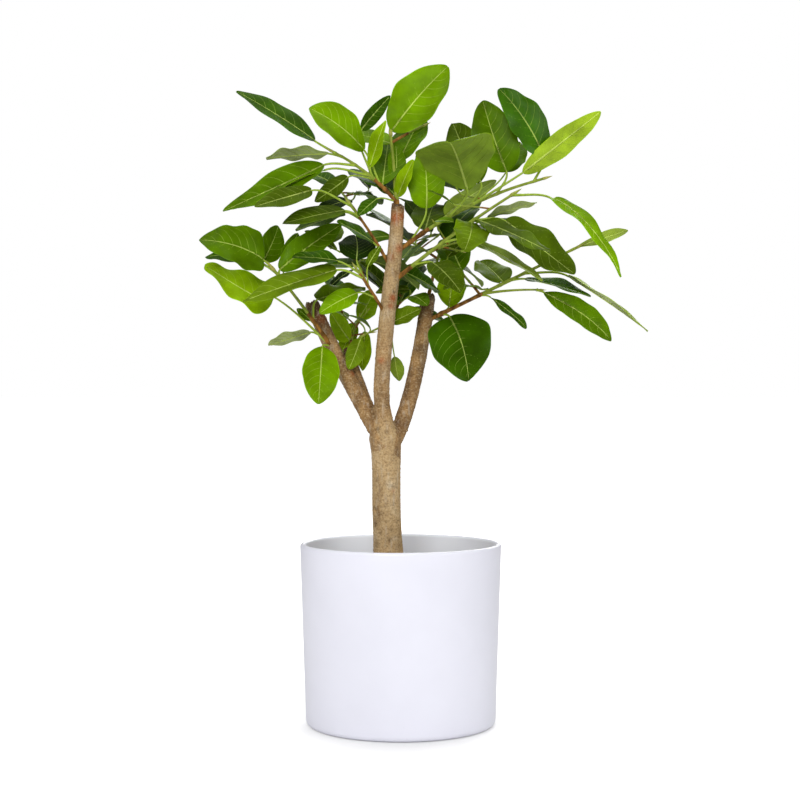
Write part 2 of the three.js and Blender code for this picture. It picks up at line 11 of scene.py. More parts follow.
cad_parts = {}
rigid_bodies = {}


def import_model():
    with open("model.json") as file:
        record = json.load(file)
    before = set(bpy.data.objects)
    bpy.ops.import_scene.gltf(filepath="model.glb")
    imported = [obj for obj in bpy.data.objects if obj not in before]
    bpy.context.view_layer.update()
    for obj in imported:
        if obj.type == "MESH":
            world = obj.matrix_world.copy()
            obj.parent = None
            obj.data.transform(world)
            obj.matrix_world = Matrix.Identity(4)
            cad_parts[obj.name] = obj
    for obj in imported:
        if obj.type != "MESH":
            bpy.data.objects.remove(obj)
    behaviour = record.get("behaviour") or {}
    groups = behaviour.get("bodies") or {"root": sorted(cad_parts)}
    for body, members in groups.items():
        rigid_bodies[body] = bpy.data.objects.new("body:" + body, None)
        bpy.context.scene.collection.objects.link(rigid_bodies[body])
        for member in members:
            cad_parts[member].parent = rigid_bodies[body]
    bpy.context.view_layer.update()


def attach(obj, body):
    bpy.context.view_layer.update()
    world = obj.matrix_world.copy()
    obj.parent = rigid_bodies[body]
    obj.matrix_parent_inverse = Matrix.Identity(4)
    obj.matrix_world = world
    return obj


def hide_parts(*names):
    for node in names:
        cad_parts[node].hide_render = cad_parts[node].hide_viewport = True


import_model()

MM = 0.001
UP = np.array([0.0, 0.0, 1.0])
TURN = 2 * math.pi

# Pot and soil, in millimetres as all sizes of the part are
POT = {"rim_radius": 125, "foot_radius": 118, "height": 225, "wall": 7, "floor": 9, "corner": 8}
SOIL_TOP = 190
SOIL_EDGE_DROP = 3
SOIL_SLACK = 2  # that the soil keeps off the pot's rounded inner corner
GAP = 0.3
GROUND = SOIL_TOP + GAP

# Trunk and leader: where the middle stands at each height
TRUNK_TOP = 644
TRUNK_PATH = [
    (-15, 0, GROUND), (-15, 0, 200), (-17.7, 0, 266), (-18.5, 0, 346), (-23.9, -1, 409),
    (-17, -3, 505), (-7, -5, 590), (-3.4, -6, TRUNK_TOP),
]
TRUNK = {
    "lower": 17.2, "leader": 9.5, "tip": 7.7, "flare": 8, "flare_height": 11, "fork": 352,
    "fork_swell": 2.2, "fork_reach": 16, "fork_blend": 36, "taper_from": 540,
}

# Boughs: each one limb that tapers from inside the trunk to its pruned tip
BOUGHS = {
    "bough_left": {
        "path": [(-20, 0, 346), (-31, 3, 370), (-53, 9, 410), (-82, 16, 463), (-110, 23, 523)],
        "foot": 9.6, "tip": 7.2,
    },
    "bough_right": {
        "path": [(-14, 2, 340), (-4, 6, 360), (10, 17, 401), (20, 27, 442), (27, 33, 479), (35, 42, 533)],
        "foot": 8.8, "tip": 7.6,
    },
    "stub_left": {
        "path": [(-38, 10, 384), (-44, 15, 402), (-56, 22, 434), (-67, 27, 465)],
        "foot": 5, "tip": 4.6,
    },
}
LIMB_RINGS = 10
TRUNK_STEPS = 220
TRUNK_RINGS = 22
FLARE_STATIONS = [0, 0.006, 0.014, 0.026, 0.045]  # of the trunk's length, at its root flare
CURVE_STEPS = 60  # of a smooth curve between two points of its path

# Leaves and twigs, and the room that they keep to each other and to the limbs
BLADE_FOLD = 12  # degrees that each half rises from the midrib
BLADE_SHOULDER = 0.8  # under 1 puts the widest place nearer the stalk
BLADE_FULLNESS = 0.62  # under 1 rounds the ends
TWIG_STEPS = 5
TWIG_TIP = 0.6  # of the twig's radius at its foot
POSED_CLEARANCE = 5
RULED_CLEARANCE = 6
LIMB_CLEARANCE = 2
# How a blade and its stalk are sampled, to see that they find room
BLADE_ROWS = 12
BLADE_COLUMNS = [-1, -0.5, 0, 0.5, 1]
STALK_ROWS = 2  # rows next to the stalk that may stand close to a limb
STALK_FREE = 0.3  # of a stalk, from its foot, that may touch the shoot
SAMPLE_STEP = 8
# Where the rule's twigs and leaves may stand, and the strip before the leader that they leave free
HEART = {"centre": [10, 85, 610], "reach": [150, 150, 185]}
LEADER_VIEW = {"x": -12, "half": 32, "front": 5}
# The leaves and twigs of the rule, with the lowest and the highest of what it draws
GOLDEN_ANGLE = 137.5
RULED_BUDS = 8
RULED_LEAF = {
    "at": (0.3, 1), "length": (52, 98), "slimness": (0.44, 0.6), "stalk": (8, 26), "swing": (-25, 25),
    "rise": (-25, 45), "tilt": (-20, 35), "arch": (10, 40),
}
RULED_TWIG = {
    "at": (0.3, 0.9), "rise": (5, 50), "stretch": (0.8, 1.2), "bend": 10, "radius": 1.9, "woody": 0.3,
}
FINER_TWIG = {
    "at": (0.35, 0.95), "rise": (-10, 60), "length": (24, 46), "bend": 8, "radius": 1.2,
    "seed": 500, "tries": 10, "buds": 4, "leaf": 0.62,
}


def leaf(
    tone, at, stalk, heading, rise, length, width, tilt, arch=15, stand=0, form=None, wavy=1, sway=None
):
    """A leaf posed on its shoot, as in the solids.

    The looks add its tone, a green with the leaf's light and shade painted in, where it is fullest, how wavy
    it is and how far it bends sideways.
    """
    return {
        "tone": tone, "at": at, "stalk": stalk, "heading": heading, "rise": rise, "length": length,
        "width": width, "tilt": tilt, "arch": arch, "stand": stand,
        "form": form, "wavy": wavy, "sway": sway,
    }


def shoot(name, mass, parent, at, radius, heading, rise, length, bend, woody, leaves):
    """A shoot on its parent limb or shoot. The looks add how much of it, from its foot, is woody."""
    return {
        "name": name, "mass": mass, "parent": parent, "at": at, "radius": radius, "heading": heading,
        "rise": rise, "length": length, "bend": bend, "woody": woody, "leaves": leaves,
    }


def space(seed, centre, reach, sprays, toward, spread, spray_length):
    """The room that a mass fills, and the twigs that the rule adds there."""
    return {
        "seed": seed, "centre": centre, "reach": reach, "sprays": sprays, "toward": toward,
        "spread": spread, "spray_length": spray_length,
    }


SHOOTS = [
    shoot("top", "foliage_top", "trunk", 0.985, 3, 111, 76, 101, 0, 0.14, [
        leaf("bright", 1, 4, -8, 48, 106, 63, 82, 12, form=1.15, sway=0.02),
        leaf("bright", 0.85, 4, 150, 16, 62, 36, 30),
        leaf("mid", 0.3, 40, 60, 48, 84, 44, 10),
        leaf("lime", 0.1, 8, -35, 62, 50, 25, 80, 5),
        leaf("mid", 0.2, 20, 90, 74, 48, 24, 10, 5),
        leaf("deep", 0.15, 6, 122, 28, 74, 36, 10),
    ]),
    shoot("top_left", "foliage_top", "top", 0.11, 2.6, -164, 36, 103, 24, 0.4, [
        leaf("deep", 0.94, 30, -170, 31, 112, 45, 40, 4, sway=-0.02, form=0.95, wavy=0.4),
        leaf("bright", 0.29, 47, -157, 33, 86, 60, 62, 34, 2, form=1.3),
        leaf("pale", 0.86, 16, 156, -1, 88, 34, -20, sway=-0.03, wavy=0.9),
        leaf("mid", 0.67, 39, 182, -25, 136, 51, 45, 12, -0.12, form=0.85, sway=0.04),
        leaf("bright", 0.47, 55, -168, -26, 95, 26, 4, 8),
        leaf("lime", 0.4, 15, -40, 66, 60, 28, 80),
        leaf("mid", 0.22, 6, 82, 50, 78, 42, 10),
        leaf("deep", 0.2, 6, 128, 22, 74, 36, 10),
        leaf("deep", 0.02, 26, -146, -39, 35, 19, 40, 12),
        leaf("moss", 0.4, 31, 167, -34, 52, 24, 86, 4),
    ]),
    shoot("upper_left", "foliage_upper_left", "trunk", 0.82, 2.4, -158, 55, 100, 12, 0.8, [
        leaf("moss", 0.97, 55, -147, -17, 82, 29, 50, 4),
        leaf("moss", 0.81, 18, -165, -13, 80, 41, 31, 16),
        leaf("deep", 0.76, 23, 140, -12, 85, 26, -20, 6),
        leaf("deep", 0.3, 14, -150, 25, 56, 30, 40),
    ]),
    shoot("upper_right", "foliage_upper_right", "trunk", 0.868, 2.8, 7, 27, 211, 24, 0.26, [
        leaf("olive", 0.39, 46, -103, 22, 116, 98, -12, 58, form=1.3),
        leaf("mid", 0.7, 32, 160, 71, 96, 58, 70, form=1.0),
        leaf("mid", 0.5, 77, 58, 46, 57, 31, 37, 13),
        leaf("moss", 0.53, 38, 123, 53, 101, 52, 52, 19),
        leaf("glossy", 0.94, 35, -166, 54, 99, 55, 75, 6, form=1.05, sway=-0.05),
        leaf("lime", 0.53, 77, -17, 36, 121, 32, -89, 44, form=1.1, sway=-0.02),
        leaf("bright", 0.12, 46, 146, 86, 72, 47, 60, 7, form=1.0),
        leaf("moss", 0.2, 8, 80, 30, 80, 46, 5),
        leaf("pale", 0.2, 41, 42, 30, 102, 29, 35, 4),
    ]),
    shoot("middle_right", "foliage_middle_right", "trunk", 0.787, 2.8, -13, 35, 185, 8, 0.2, [
        leaf("bright", 1, 51, -35, -46, 136, 30, 16, 29, form=0.55, sway=0.06),
        leaf("moss", 0.7, 38, -10, -38, 108, 54, 48, form=1.1),
        leaf("moss", 0.7, 3, -47, -21, 130, 34, 18, 8),
        leaf("olive", 0.66, 6, -100, -30, 78, 46, 20, wavy=1.8),
        leaf("pale", 0.45, 29, -22, -28, 111, 28, 18, 8, sway=0.04),
        leaf("moss", 0.2, 28, -57, -33, 72, 40, 20),
        leaf("deep", 0.1, 6, 45, -20, 62, 34, 50),
    ]),
    shoot("right", "foliage_right", "bough_right", 0.84, 2.8, -15, 25, 215, 0, 0.4, [
        leaf("pale", 0.97, 3, -4, 19, 68, 24, 40, 6, form=1.8),
        leaf("olive", 0.5, 6, 110, 22, 80, 44, 10),
        leaf("deep", 0.56, 20, -21, -16, 87, 40, 14),
        leaf("pale", 0.66, 54, -12, -35, 120, 39, 0, 7),
        leaf("deep", 0.36, 14, -26, -39, 64, 15, 36, 4, form=1.6),
        leaf("deep", 0.11, 13, -68, -54, 100, 81, 29, 9, form=1.0, sway=0.05),
        leaf("lime", 0.12, 12, 80, 37, 78, 38, 10),
    ]),
    shoot("right_low", "foliage_right", "right", 0.38, 2, -32, 2, 82, 10, 0, [
        leaf("mid", 0.94, 10, -18, -36, 103, 34, 52, 6, form=1.25, sway=0.06),
    ]),
    shoot("left", "foliage_left", "bough_left", 0.62, 2.8, -158, 52, 139, 8, 0.5, [
        leaf("mid", 0.92, 8, 19, 36, 98, 36, 70, 22, form=0.95),
        leaf("mid", 1, 16, -162, 16, 84, 61, 64, 45, 0.4, form=0.74, sway=-0.03, wavy=1.3),
        leaf("deep", 0.96, 28, 142, 6, 90, 34, 36, 8, sway=-0.06),
        leaf("lime", 0.16, 90, -173, 24, 94, 57, 52, 19, wavy=1.6, sway=0.15, form=0.55),
        leaf("pale", 0.21, 23, 142, -13, 72, 26, -24, 4),
        leaf("bright", 0.14, 15, -95, -63, 80, 47, 14, 14, form=1.15, sway=0.0),
        leaf("olive", 0.42, 28, 40, 13, 80, 38, 30, form=0.8),
        leaf("mid", 0.8, 26, 58, 55, 53, 20, 44, 13),
        leaf("mid", 0.26, 23, 164, 40, 24, 12, 56, 13),
    ]),
    shoot("front_left", "foliage_front_left", "trunk", 0.695, 2.4, -134, 47, 80, 5, 0.9, [
        leaf("olive", 0.8, 35, -170, -19, 120, 47, 33, 10, form=1.0),
        leaf("bright", 0.4, 26, -161, -28, 54, 28, 60, form=1.0),
        leaf("deep", 0.9, 30, 178, 5, 56, 34, 30),
        leaf("dark", 0.66, 34, 93, 32, 64, 48, 0),
        leaf("moss", 0.62, 25, 38, 53, 32, 14, 30),
    ]),
    shoot("low_left", "foliage_low_left", "stub_left", 0.985, 2, 74, 44, 66, 0, 0.3, [
        leaf("lime", 0.85, 5, 70, 35, 65, 31, 55, 4),
        leaf("lime", 0.9, 10, -131, -57, 52, 22, 40),
        leaf("lime", 0.89, 26, -99, -67, 55, 23, 31, 4),
    ]),
    shoot("low_back", "foliage_low_back", "trunk", 0.655, 2.2, 72, 35, 100, 0, 0.6, [
        leaf("olive", 0.12, 8, 6, 26, 40, 29, 47, 6),
        leaf("olive", 0.21, 45, 48, -74, 32, 21, -14, 4, -3),
        leaf("moss", 0.6, 14, 150, 40, 80, 40, 10),
    ]),
    shoot("low_centre", "foliage_low_back", "low_back", 0.2, 1.7, 175, -25, 36, 0, 0.4, [
        leaf("olive", 1, 6, -135, -62, 44, 24, 50),
    ]),
    shoot("back", "foliage_back", "bough_right", 0.985, 2.6, 76, 42, 120, 15, 0.5, [
        leaf("pale", 0.5, 25, 35, 24, 76, 34, 8),
        leaf("pale", 0.68, 86, -28, 13, 72, 22, -22, 6),
    ]),
]

MASSES = {
    "foliage_top": space(11, [-60, 20, 720], [290, 180, 170], 6, 90, 80, 75),
    "foliage_upper_left": space(23, [-90, 0, 630], [210, 160, 120], 5, 110, 50, 80),
    "foliage_upper_right": space(31, [110, 30, 690], [230, 210, 160], 6, 80, 60, 80),
    "foliage_middle_right": space(43, [130, -60, 590], [250, 160, 160], 3, 60, 30, 60),
    "foliage_right": space(57, [160, 20, 530], [240, 180, 170], 4, 100, 50, 70),
    "foliage_left": space(61, [-150, 0, 500], [200, 170, 180], 3, 60, 40, 60),
    "foliage_front_left": space(73, [-80, -40, 550], [190, 150, 120], 3, 100, 60, 60),
    "foliage_low_left": space(83, [-60, 80, 510], [140, 120, 130], 5, 80, 100, 60),
    "foliage_low_back": space(97, [0, 80, 520], [140, 140, 140], 7, 90, 120, 60),
    "foliage_back": space(101, [60, 110, 620], [160, 140, 140], 7, 90, 80, 70),
}

# Leaves of the looks alone, on shoots of the table
LATE_LEAVES = {
    "top_left": [leaf("deep", 0.42, 65, 53, 40, 78, 20, 70, 8, 0.2, wavy=0.5)],
    "left": [leaf("mid", 0.99, 23, 61, 53, 58, 36, 70, 8, -1.3)],
    "low_left": [leaf("lime", 0.2, 10, 120, 36, 60, 28, 60, 8, -0.3)],
}


# The growth rule


def random_source(seed):
    """Seeded numbers from 0 to 1, by a linear congruential rule."""
    state = seed

    def draw():
        nonlocal state
        state = (state * 1664525 + 1013904223) % 4294967296
        return state / 4294967296

    draw()
    return draw


def draws_of(random, count):
    return [random() for _ in range(count)]


def mix(a, b, t):
    return a + (b - a) * t


def smooth_step(x, low, high):
    t = np.clip((x - low) / (high - low), 0, 1)
    return t * t * (3 - 2 * t)


def bell(x, reach):
    """1 where x is 0, falling away smoothly over the reach on both sides."""
    return np.exp(-((x / reach) ** 2))


def unit(vector):
    return vector / np.linalg.norm(vector)


def direction(heading, rise):
    turn, lift = math.radians(heading), math.radians(rise)
    return np.array([math.cos(turn) * math.cos(lift), math.sin(turn) * math.cos(lift), math.sin(lift)])


def arc_path(start, heading, rise, length, bend, steps):
    """Points along a circular arc that leaves steeper than its chord by half its bend."""
    half = math.radians(bend) / 2
    stretch = 1 if abs(half) < 1e-6 else half / math.sin(half)
    points = [start]
    for step in range(steps):
        lift = rise + bend / 2 - bend * (step + 0.5) / steps
        points.append(points[-1] + direction(heading, lift) * length * stretch / steps)
    return np.array(points)


def stretch_along(points, at):
    """The stretch of a path that lies the fraction at of its length along it, and how far into it."""
    lengths = np.linalg.norm(np.diff(points, axis=0), axis=1)
    left = at * lengths.sum()
    first = 0
    while first < len(lengths) - 1 and left > lengths[first]:
        left -= lengths[first]
        first += 1
    return first, left / lengths[first]


def point_along(points, at):
    first, into = stretch_along(points, at)
    return mix(points[first], points[first + 1], into)


def tangent_along(points, at):
    first, _ = stretch_along(points, at)
    return unit(points[first + 1] - points[first])


def curve_through(path, count):
    """Points an even length apart on a smooth centripetal curve through the path."""
    stations = [np.array(point, float) for point in path]
    stations = [2 * stations[0] - stations[1], *stations, 2 * stations[-1] - stations[-2]]
    fine = [stations[1]]
    for a, b, c, d in zip(stations, stations[1:], stations[2:], stations[3:]):
        before, here, after = [math.sqrt(np.linalg.norm(q - p)) for p, q in ((a, b), (b, c), (c, d))]
        leave = ((b - a) / before - (c - a) / (before + here) + (c - b) / here) * here
        arrive = ((c - b) / here - (d - b) / (here + after) + (d - c) / after) * here
        for t in np.linspace(0, 1, CURVE_STEPS + 1)[1:]:
            cubic = (2 * b - 2 * c + leave + arrive) * t**3 + (-3 * b + 3 * c - 2 * leave - arrive) * t**2
            fine.append(cubic + leave * t + b)
    fine = np.array(fine)
    return np.array([point_along(fine, i / count) for i in range(count + 1)])


def trunk_radius(z):
    fork = TRUNK["fork"]
    shaft = mix(TRUNK["lower"], TRUNK["leader"], smooth_step(z, fork, fork + TRUNK["fork_blend"]))
    flare = TRUNK["flare"] * np.exp((GROUND - z) / TRUNK["flare_height"])
    swell = TRUNK["fork_swell"] * bell(z - fork, TRUNK["fork_reach"])
    taper = (TRUNK["leader"] - TRUNK["tip"]) * smooth_step(z, TRUNK["taper_from"], TRUNK_TOP)
    return shaft + flare + swell - taper


def trunk_limb():
    path = curve_through(TRUNK_PATH, TRUNK_STEPS)
    shaft = [(ring + 2) / TRUNK_RINGS for ring in range(TRUNK_RINGS - 1)]
    points = np.array([point_along(path, at) for at in [*FLARE_STATIONS, *shaft]])
    return {"points": points, "radii": trunk_radius(points[:, 2])}


def bough_limb(bough):
    points = curve_through(bough["path"], LIMB_RINGS)
    return {"points": points, "radii": np.linspace(bough["foot"], bough["tip"], LIMB_RINGS + 1)}


def blade_frame(heading, rise, tilt):
    """The way a blade runs, the way across it, and the way out of its upper side."""
    along = direction(heading, rise)
    level = np.cross(UP, along)
    level = unit(level) if np.linalg.norm(level) >= 0.05 else np.array([1.0, 0.0, 0.0])
    frontward = 1 if level[1] <= 0 else -1
    turn = math.radians(tilt)
    face = unit(np.cross(along, level) * math.cos(turn) + level * frontward * math.sin(turn))
    return {"along": along, "face": face, "across": np.cross(face, along)}


def half_width(width, u):
    u = np.clip(u, 0, 1)
    return width / 2 * np.maximum(np.sin(math.pi * u**BLADE_SHOULDER), 0) ** BLADE_FULLNESS


def midrib(blade, u):
    """The midrib's places and the blade's own upward directions at each u, 0 at the stalk, 1 at the tip."""
    u = np.atleast_1d(u)
    bend = math.radians(max(blade["arch"], 0.5))
    scale = blade["length"] * 0.5 / math.sin(bend / 2)
    here = bend * (0.5 - u)
    forward = scale * (math.sin(bend / 2) - np.sin(here))
    lift = scale * (np.cos(here) - math.cos(bend / 2))
    along, face = blade["frame"]["along"], blade["frame"]["face"]
    point = blade["base"] + forward[:, None] * along + lift[:, None] * face
    normal = np.cos(here)[:, None] * face - np.sin(here)[:, None] * along
    return point, normal


def blade_samples(blade):
    rows = np.repeat(np.arange(BLADE_ROWS + 1) / BLADE_ROWS, len(BLADE_COLUMNS))
    v = np.tile(BLADE_COLUMNS, BLADE_ROWS + 1)
    point, normal = midrib(blade, rows)
    half = half_width(blade["width"], rows)
    fold = math.radians(BLADE_FOLD)
    across = (v * half * math.cos(fold))[:, None] * blade["frame"]["across"]
    return point + across + normal * (np.abs(v) * half * math.sin(fold))[:, None]


def grow_shoot(plan, parent):
    start = point_along(parent["points"], plan["at"])
    points = arc_path(start, plan["heading"], plan["rise"], plan["length"], plan["bend"], TWIG_STEPS)
    return {"points": points, "radii": plan["radius"] * np.linspace(1, TWIG_TIP, TWIG_STEPS + 1)}


def grow_leaf(plan, twig):
    foot = point_along(twig["points"], plan["at"])
    pose = blade_frame(plan["heading"], plan["rise"], plan["tilt"])
    lean = unit(tangent_along(twig["points"], plan["at"]) + pose["along"] + UP * plan["stand"])
    return {**plan, "foot": foot, "lean": lean, "base": foot + lean * plan["stalk"], "frame": pose}


def ruled_leaves(count, phase, random, scale=1):
    """The leaves that the rule sets round a shoot, each a golden angle on from the one below it."""
    plans = []
    for bud in range(count):
        turn, lift, size, girth, roll, droop = draws_of(random, 6)
        length = mix(*RULED_LEAF["length"], size)
        plans.append(leaf(
            None, at=mix(*RULED_LEAF["at"], (bud + 1) / count),
            stalk=mix(*RULED_LEAF["stalk"], girth) * scale,
            heading=phase + GOLDEN_ANGLE * bud + mix(*RULED_LEAF["swing"], turn),
            rise=mix(*RULED_LEAF["rise"], lift), length=length * scale,
            width=length * mix(*RULED_LEAF["slimness"], girth) * scale,
            tilt=mix(*RULED_LEAF["tilt"], roll), arch=mix(*RULED_LEAF["arch"], droop),
        ))
    return plans


def segment_samples(start, end):
    count = max(2, math.ceil(np.linalg.norm(end - start) / SAMPLE_STEP))
    return start + (end - start) * np.linspace(0, 1, count + 1)[:, None]


def inside_space(samples, room):
    return bool(np.all((((samples - room["centre"]) / room["reach"]) ** 2).sum(axis=1) <= 1))


def nearest(samples, others):
    return math.sqrt((((samples[:, None] - others[None]) ** 2).sum(axis=2)).min())


def ball_round(samples):
    centre = samples.mean(axis=0)
    return centre, np.linalg.norm(samples - centre, axis=1).max()


class Crown:
    """The twigs and leaves of each mass, and the room that they take."""

    def __init__(self, limbs):
        self.limbs = limbs
        self.taken = []
        self.masses = {}
        self.shoots = {}
        self.late = []
        skins, radii = [], []
        for limb in limbs.values():
            for start, end, radius in zip(limb["points"], limb["points"][1:], limb["radii"]):
                samples = segment_samples(start, end)
                skins.append(samples)
                radii.append(np.full(len(samples), radius))
        self.limb_middles = np.concatenate(skins)
        self.limb_radii = np.concatenate(radii)

    def reserve(self, mass, kind, samples):
        self.taken.append((mass, kind, samples, *ball_round(samples)))

    def fits(self, mass, samples, clearance, kin):
        """Whether the samples keep the clearance to all that is there, apart from kin of their own mass."""
        centre, reach = ball_round(samples)
        for other_mass, kind, others, middle, size in self.taken:
            if other_mass == mass and kind in kin:
                continue
            if np.linalg.norm(middle - centre) > reach + clearance + size:
                continue
            if nearest(samples, others) <= clearance:
                return False
        return True

    def inside_heart(self, samples):
        beside = np.abs(samples[:, 0] - LEADER_VIEW["x"]) > LEADER_VIEW["half"]
        behind = samples[:, 1] > LEADER_VIEW["front"]
        return inside_space(samples, HEART) and bool(np.all(behind | beside))

    def off_limbs(self, samples):
        apart = np.linalg.norm(samples[:, None] - self.limb_middles[None], axis=2)
        return bool(np.all(apart > self.limb_radii[None] + LIMB_CLEARANCE))

    def add_leaf(self, mass, plan, twig, ruled):
        """A leaf, kept only where it stays in its mass's space, off the limbs and clear of the others."""
        blade = grow_leaf(plan, twig)
        samples = blade_samples(blade)
        stalk = segment_samples(mix(blade["foot"], blade["base"], STALK_FREE), blade["base"])
        free = samples[STALK_ROWS * len(BLADE_COLUMNS):]
        if not inside_space(samples, MASSES[mass]) or not self.off_limbs(free):
            return False
        if ruled and not self.inside_heart(samples):
            return False
        if ruled:
            clear = self.fits(mass, samples, RULED_CLEARANCE, ["twig"])
        else:
            clear = self.fits(mass, samples, POSED_CLEARANCE, ["twig", "leaf"])
        if not clear or not self.fits(mass, stalk, POSED_CLEARANCE / 2, ["twig", "leaf"]):
            return False
        self.reserve(mass, "leaf", samples)
        self.reserve(mass, "twig", stalk)
        self.masses[mass]["leaves"].append(blade)
        return True

    def grow_named(self):
        """The shoots of the table first, so that every leaf keeps off them, and then their leaves."""
        for plan in SHOOTS:
            parent = self.limbs.get(plan["parent"]) or self.shoots[plan["parent"]]
            stem = {**grow_shoot(plan, parent), "named": True, "woody": plan["woody"], "borne": []}
            self.shoots[plan["name"]] = stem
            habit = self.masses.setdefault(plan["mass"], {"twigs": [], "leaves": [], "stem": stem})
            habit["twigs"].append(stem)
            for start, end in zip(stem["points"][1:], stem["points"][2:]):
                self.reserve(plan["mass"], "twig", segment_samples(start, end))
        for plan in SHOOTS:
            for pose in plan["leaves"]:
                self.add_leaf(plan["mass"], pose, self.shoots[plan["name"]], False)

    def grow_spray(self, mass, plan, parent, leaves):
        """A twig of the seeded rule, kept only where it and a leaf of it find room."""
        twig = {**grow_shoot(plan, parent), "named": False, "woody": RULED_TWIG["woody"], "borne": []}
        samples = segment_samples(twig["points"][1], twig["points"][TWIG_STEPS])
        if not (self.inside_heart(samples) and self.off_limbs(samples)):
            return
        if not self.fits(mass, samples, POSED_CLEARANCE, ["twig"]):
            return
        kept = [pose for pose in leaves if self.add_leaf(mass, pose, twig, True)]
        if kept:
            self.masses[mass]["twigs"].append(twig)
            self.reserve(mass, "twig", samples)
            parent["borne"].append(plan["at"])

    def grow_ruled(self):
        """Then each mass's own twigs branch from its stem, and carry leaves where there is room."""
        for mass, habit in MASSES.items():
            random = random_source(habit["seed"])
            for spray in range(habit["sprays"]):
                place, swing, lift, size, spin = draws_of(random, 5)
                plan = {
                    "at": mix(*RULED_TWIG["at"], (spray + place) / habit["sprays"]),
                    "heading": habit["toward"] + habit["spread"] * (2 * swing - 1),
                    "rise": mix(*RULED_TWIG["rise"], lift),
                    "length": habit["spray_length"] * mix(*RULED_TWIG["stretch"], size),
                    "bend": RULED_TWIG["bend"], "radius": RULED_TWIG["radius"],
                }
                leaves = ruled_leaves(RULED_BUDS, 360 * spin, random)
                self.grow_spray(mass, plan, self.masses[mass]["stem"], leaves)

    def grow_finer(self):
        """Finer twigs with small leaves branch from the twigs that are there, within the same reach."""
        for mass, habit in MASSES.items():
            random = random_source(habit["seed"] + FINER_TWIG["seed"])
            stems = list(self.masses[mass]["twigs"])
            for number in range(FINER_TWIG["tries"]):
                place, swing, lift, size, spin = draws_of(random, 5)
                plan = {
                    "at": mix(*FINER_TWIG["at"], place), "heading": 360 * swing,
                    "rise": mix(*FINER_TWIG["rise"], lift), "length": mix(*FINER_TWIG["length"], size),
                    "bend": FINER_TWIG["bend"], "radius": FINER_TWIG["radius"],
                }
                leaves = ruled_leaves(FINER_TWIG["buds"], 360 * spin, random, FINER_TWIG["leaf"])
                self.grow_spray(mass, plan, stems[number % len(stems)], leaves)

    def grow_late(self):
        """Last, a few leaves fill gaps that the looks alone have, on shoots of the table."""
        for name, poses in LATE_LEAVES.items():
            self.late += [grow_leaf(pose, self.shoots[name]) for pose in poses]


# Meshes


class Soup:
    """Vertices and faces of many small skins that become one piece."""

    def __init__(self):
        self.points = []
        self.faces = []
        self.slots = []
        self.count = 0

    def add(self, points, *blocks):
        """Adds points and blocks of faces over them, each block with its slot or slots."""
        for faces, slots in blocks:
            self.faces.append(np.asarray(faces, int) + self.count)
            self.slots.append(np.broadcast_to(slots, len(faces)).astype(int))
        self.points.append(np.asarray(points, float))
        self.count += len(points)

    def build(self, name, materials):
        """One smooth-shaded object from the skins, in metres."""
        mesh = bpy.data.meshes.new(name)
        points = np.concatenate(self.points) * MM
        faces = np.concatenate([block.ravel() for block in self.faces])
        sizes = np.concatenate([np.full(len(block), block.shape[1]) for block in self.faces])
        mesh.vertices.add(len(points))
        mesh.vertices.foreach_set("co", points.ravel())
        mesh.loops.add(len(faces))
        mesh.loops.foreach_set("vertex_index", faces)
        mesh.polygons.add(len(sizes))
        mesh.polygons.foreach_set("loop_start", np.concatenate([[0], np.cumsum(sizes)[:-1]]))
        mesh.polygons.foreach_set("material_index", np.concatenate(self.slots))
        mesh.update(calc_edges=True)
        mesh.validate()
        mesh.shade_smooth()
        add_materials(mesh, materials)
        piece = bpy.data.objects.new(name, mesh)
        bpy.context.scene.collection.objects.link(piece)
        return piece


def add_materials(mesh, materials):
    for material in materials:
        mesh.materials.append(material)


def grid_faces(rows, columns, first=0, around=False, flip=False):
    """The quads of a grid of points, which closes on itself around its columns if asked."""
    across = columns if around else columns - 1
    row, column = np.meshgrid(np.arange(rows - 1), np.arange(across), indexing="ij")
    a, b = row * columns + column, row * columns + (column + 1) % columns
    quads = np.stack([a, b, b + columns, a + columns], axis=-1).reshape(-1, 4) + first
    return quads[:, ::-1] if flip else quads


def ring_faces(rings, sides, flip=False):
    """The quads of a round skin, and the fans that close it round the two points after its rings."""
    here = np.arange(sides)
    after = (here + 1) % sides
    last = (rings - 1) * sides
    fans = np.concatenate([
        np.stack([np.full(sides, rings * sides), after, here], axis=1),
        np.stack([np.full(sides, rings * sides + 1), here + last, after + last], axis=1),
    ])
    return grid_faces(rings, sides, around=True, flip=flip), fans[:, [0, 2, 1]] if flip else fans


def add_tube(soup, points, radii, sides):
    """A closed round tube along the points."""
    tangents = np.gradient(points, axis=0)
    tangents /= np.linalg.norm(tangents, axis=1)[:, None]
    across = np.array([0.0, 1.0, 0.0])
    if abs(tangents[0] @ across) > 0.95:
        across = np.array([1.0, 0.0, 0.0])
    angles = np.linspace(0, TURN, sides, endpoint=False)
    rings = []
    for point, tangent, radius in zip(points, tangents, radii):
        across = unit(across - tangent * (across @ tangent))
        other = np.cross(tangent, across)
        rings.append(point + radius * (np.cos(angles)[:, None] * across + np.sin(angles)[:, None] * other))
    quads, fans = ring_faces(len(points), sides)
    soup.add(np.concatenate([*rings, [points[0]], [points[-1]]]), (quads, 0), (fans, 0))


def bezier(controls, count):
    """Points on the curve from the first of its control points to the last."""
    t = np.linspace(0, 1, count)[:, None]
    points = [np.array(control, float) for control in controls]
    while len(points) > 1:
        points = [mix(a, b, t) for a, b in zip(points, points[1:])]
    return points[0]


# Leaves and twigs, with what the looks add to the rule

# The rule's leaves draw their tone at random from the lit and shaded greens
RULED_TONES = ["deep", "mid", "moss", "olive", "mid", "deep", "dark"]
LEAF_SEED = 7919
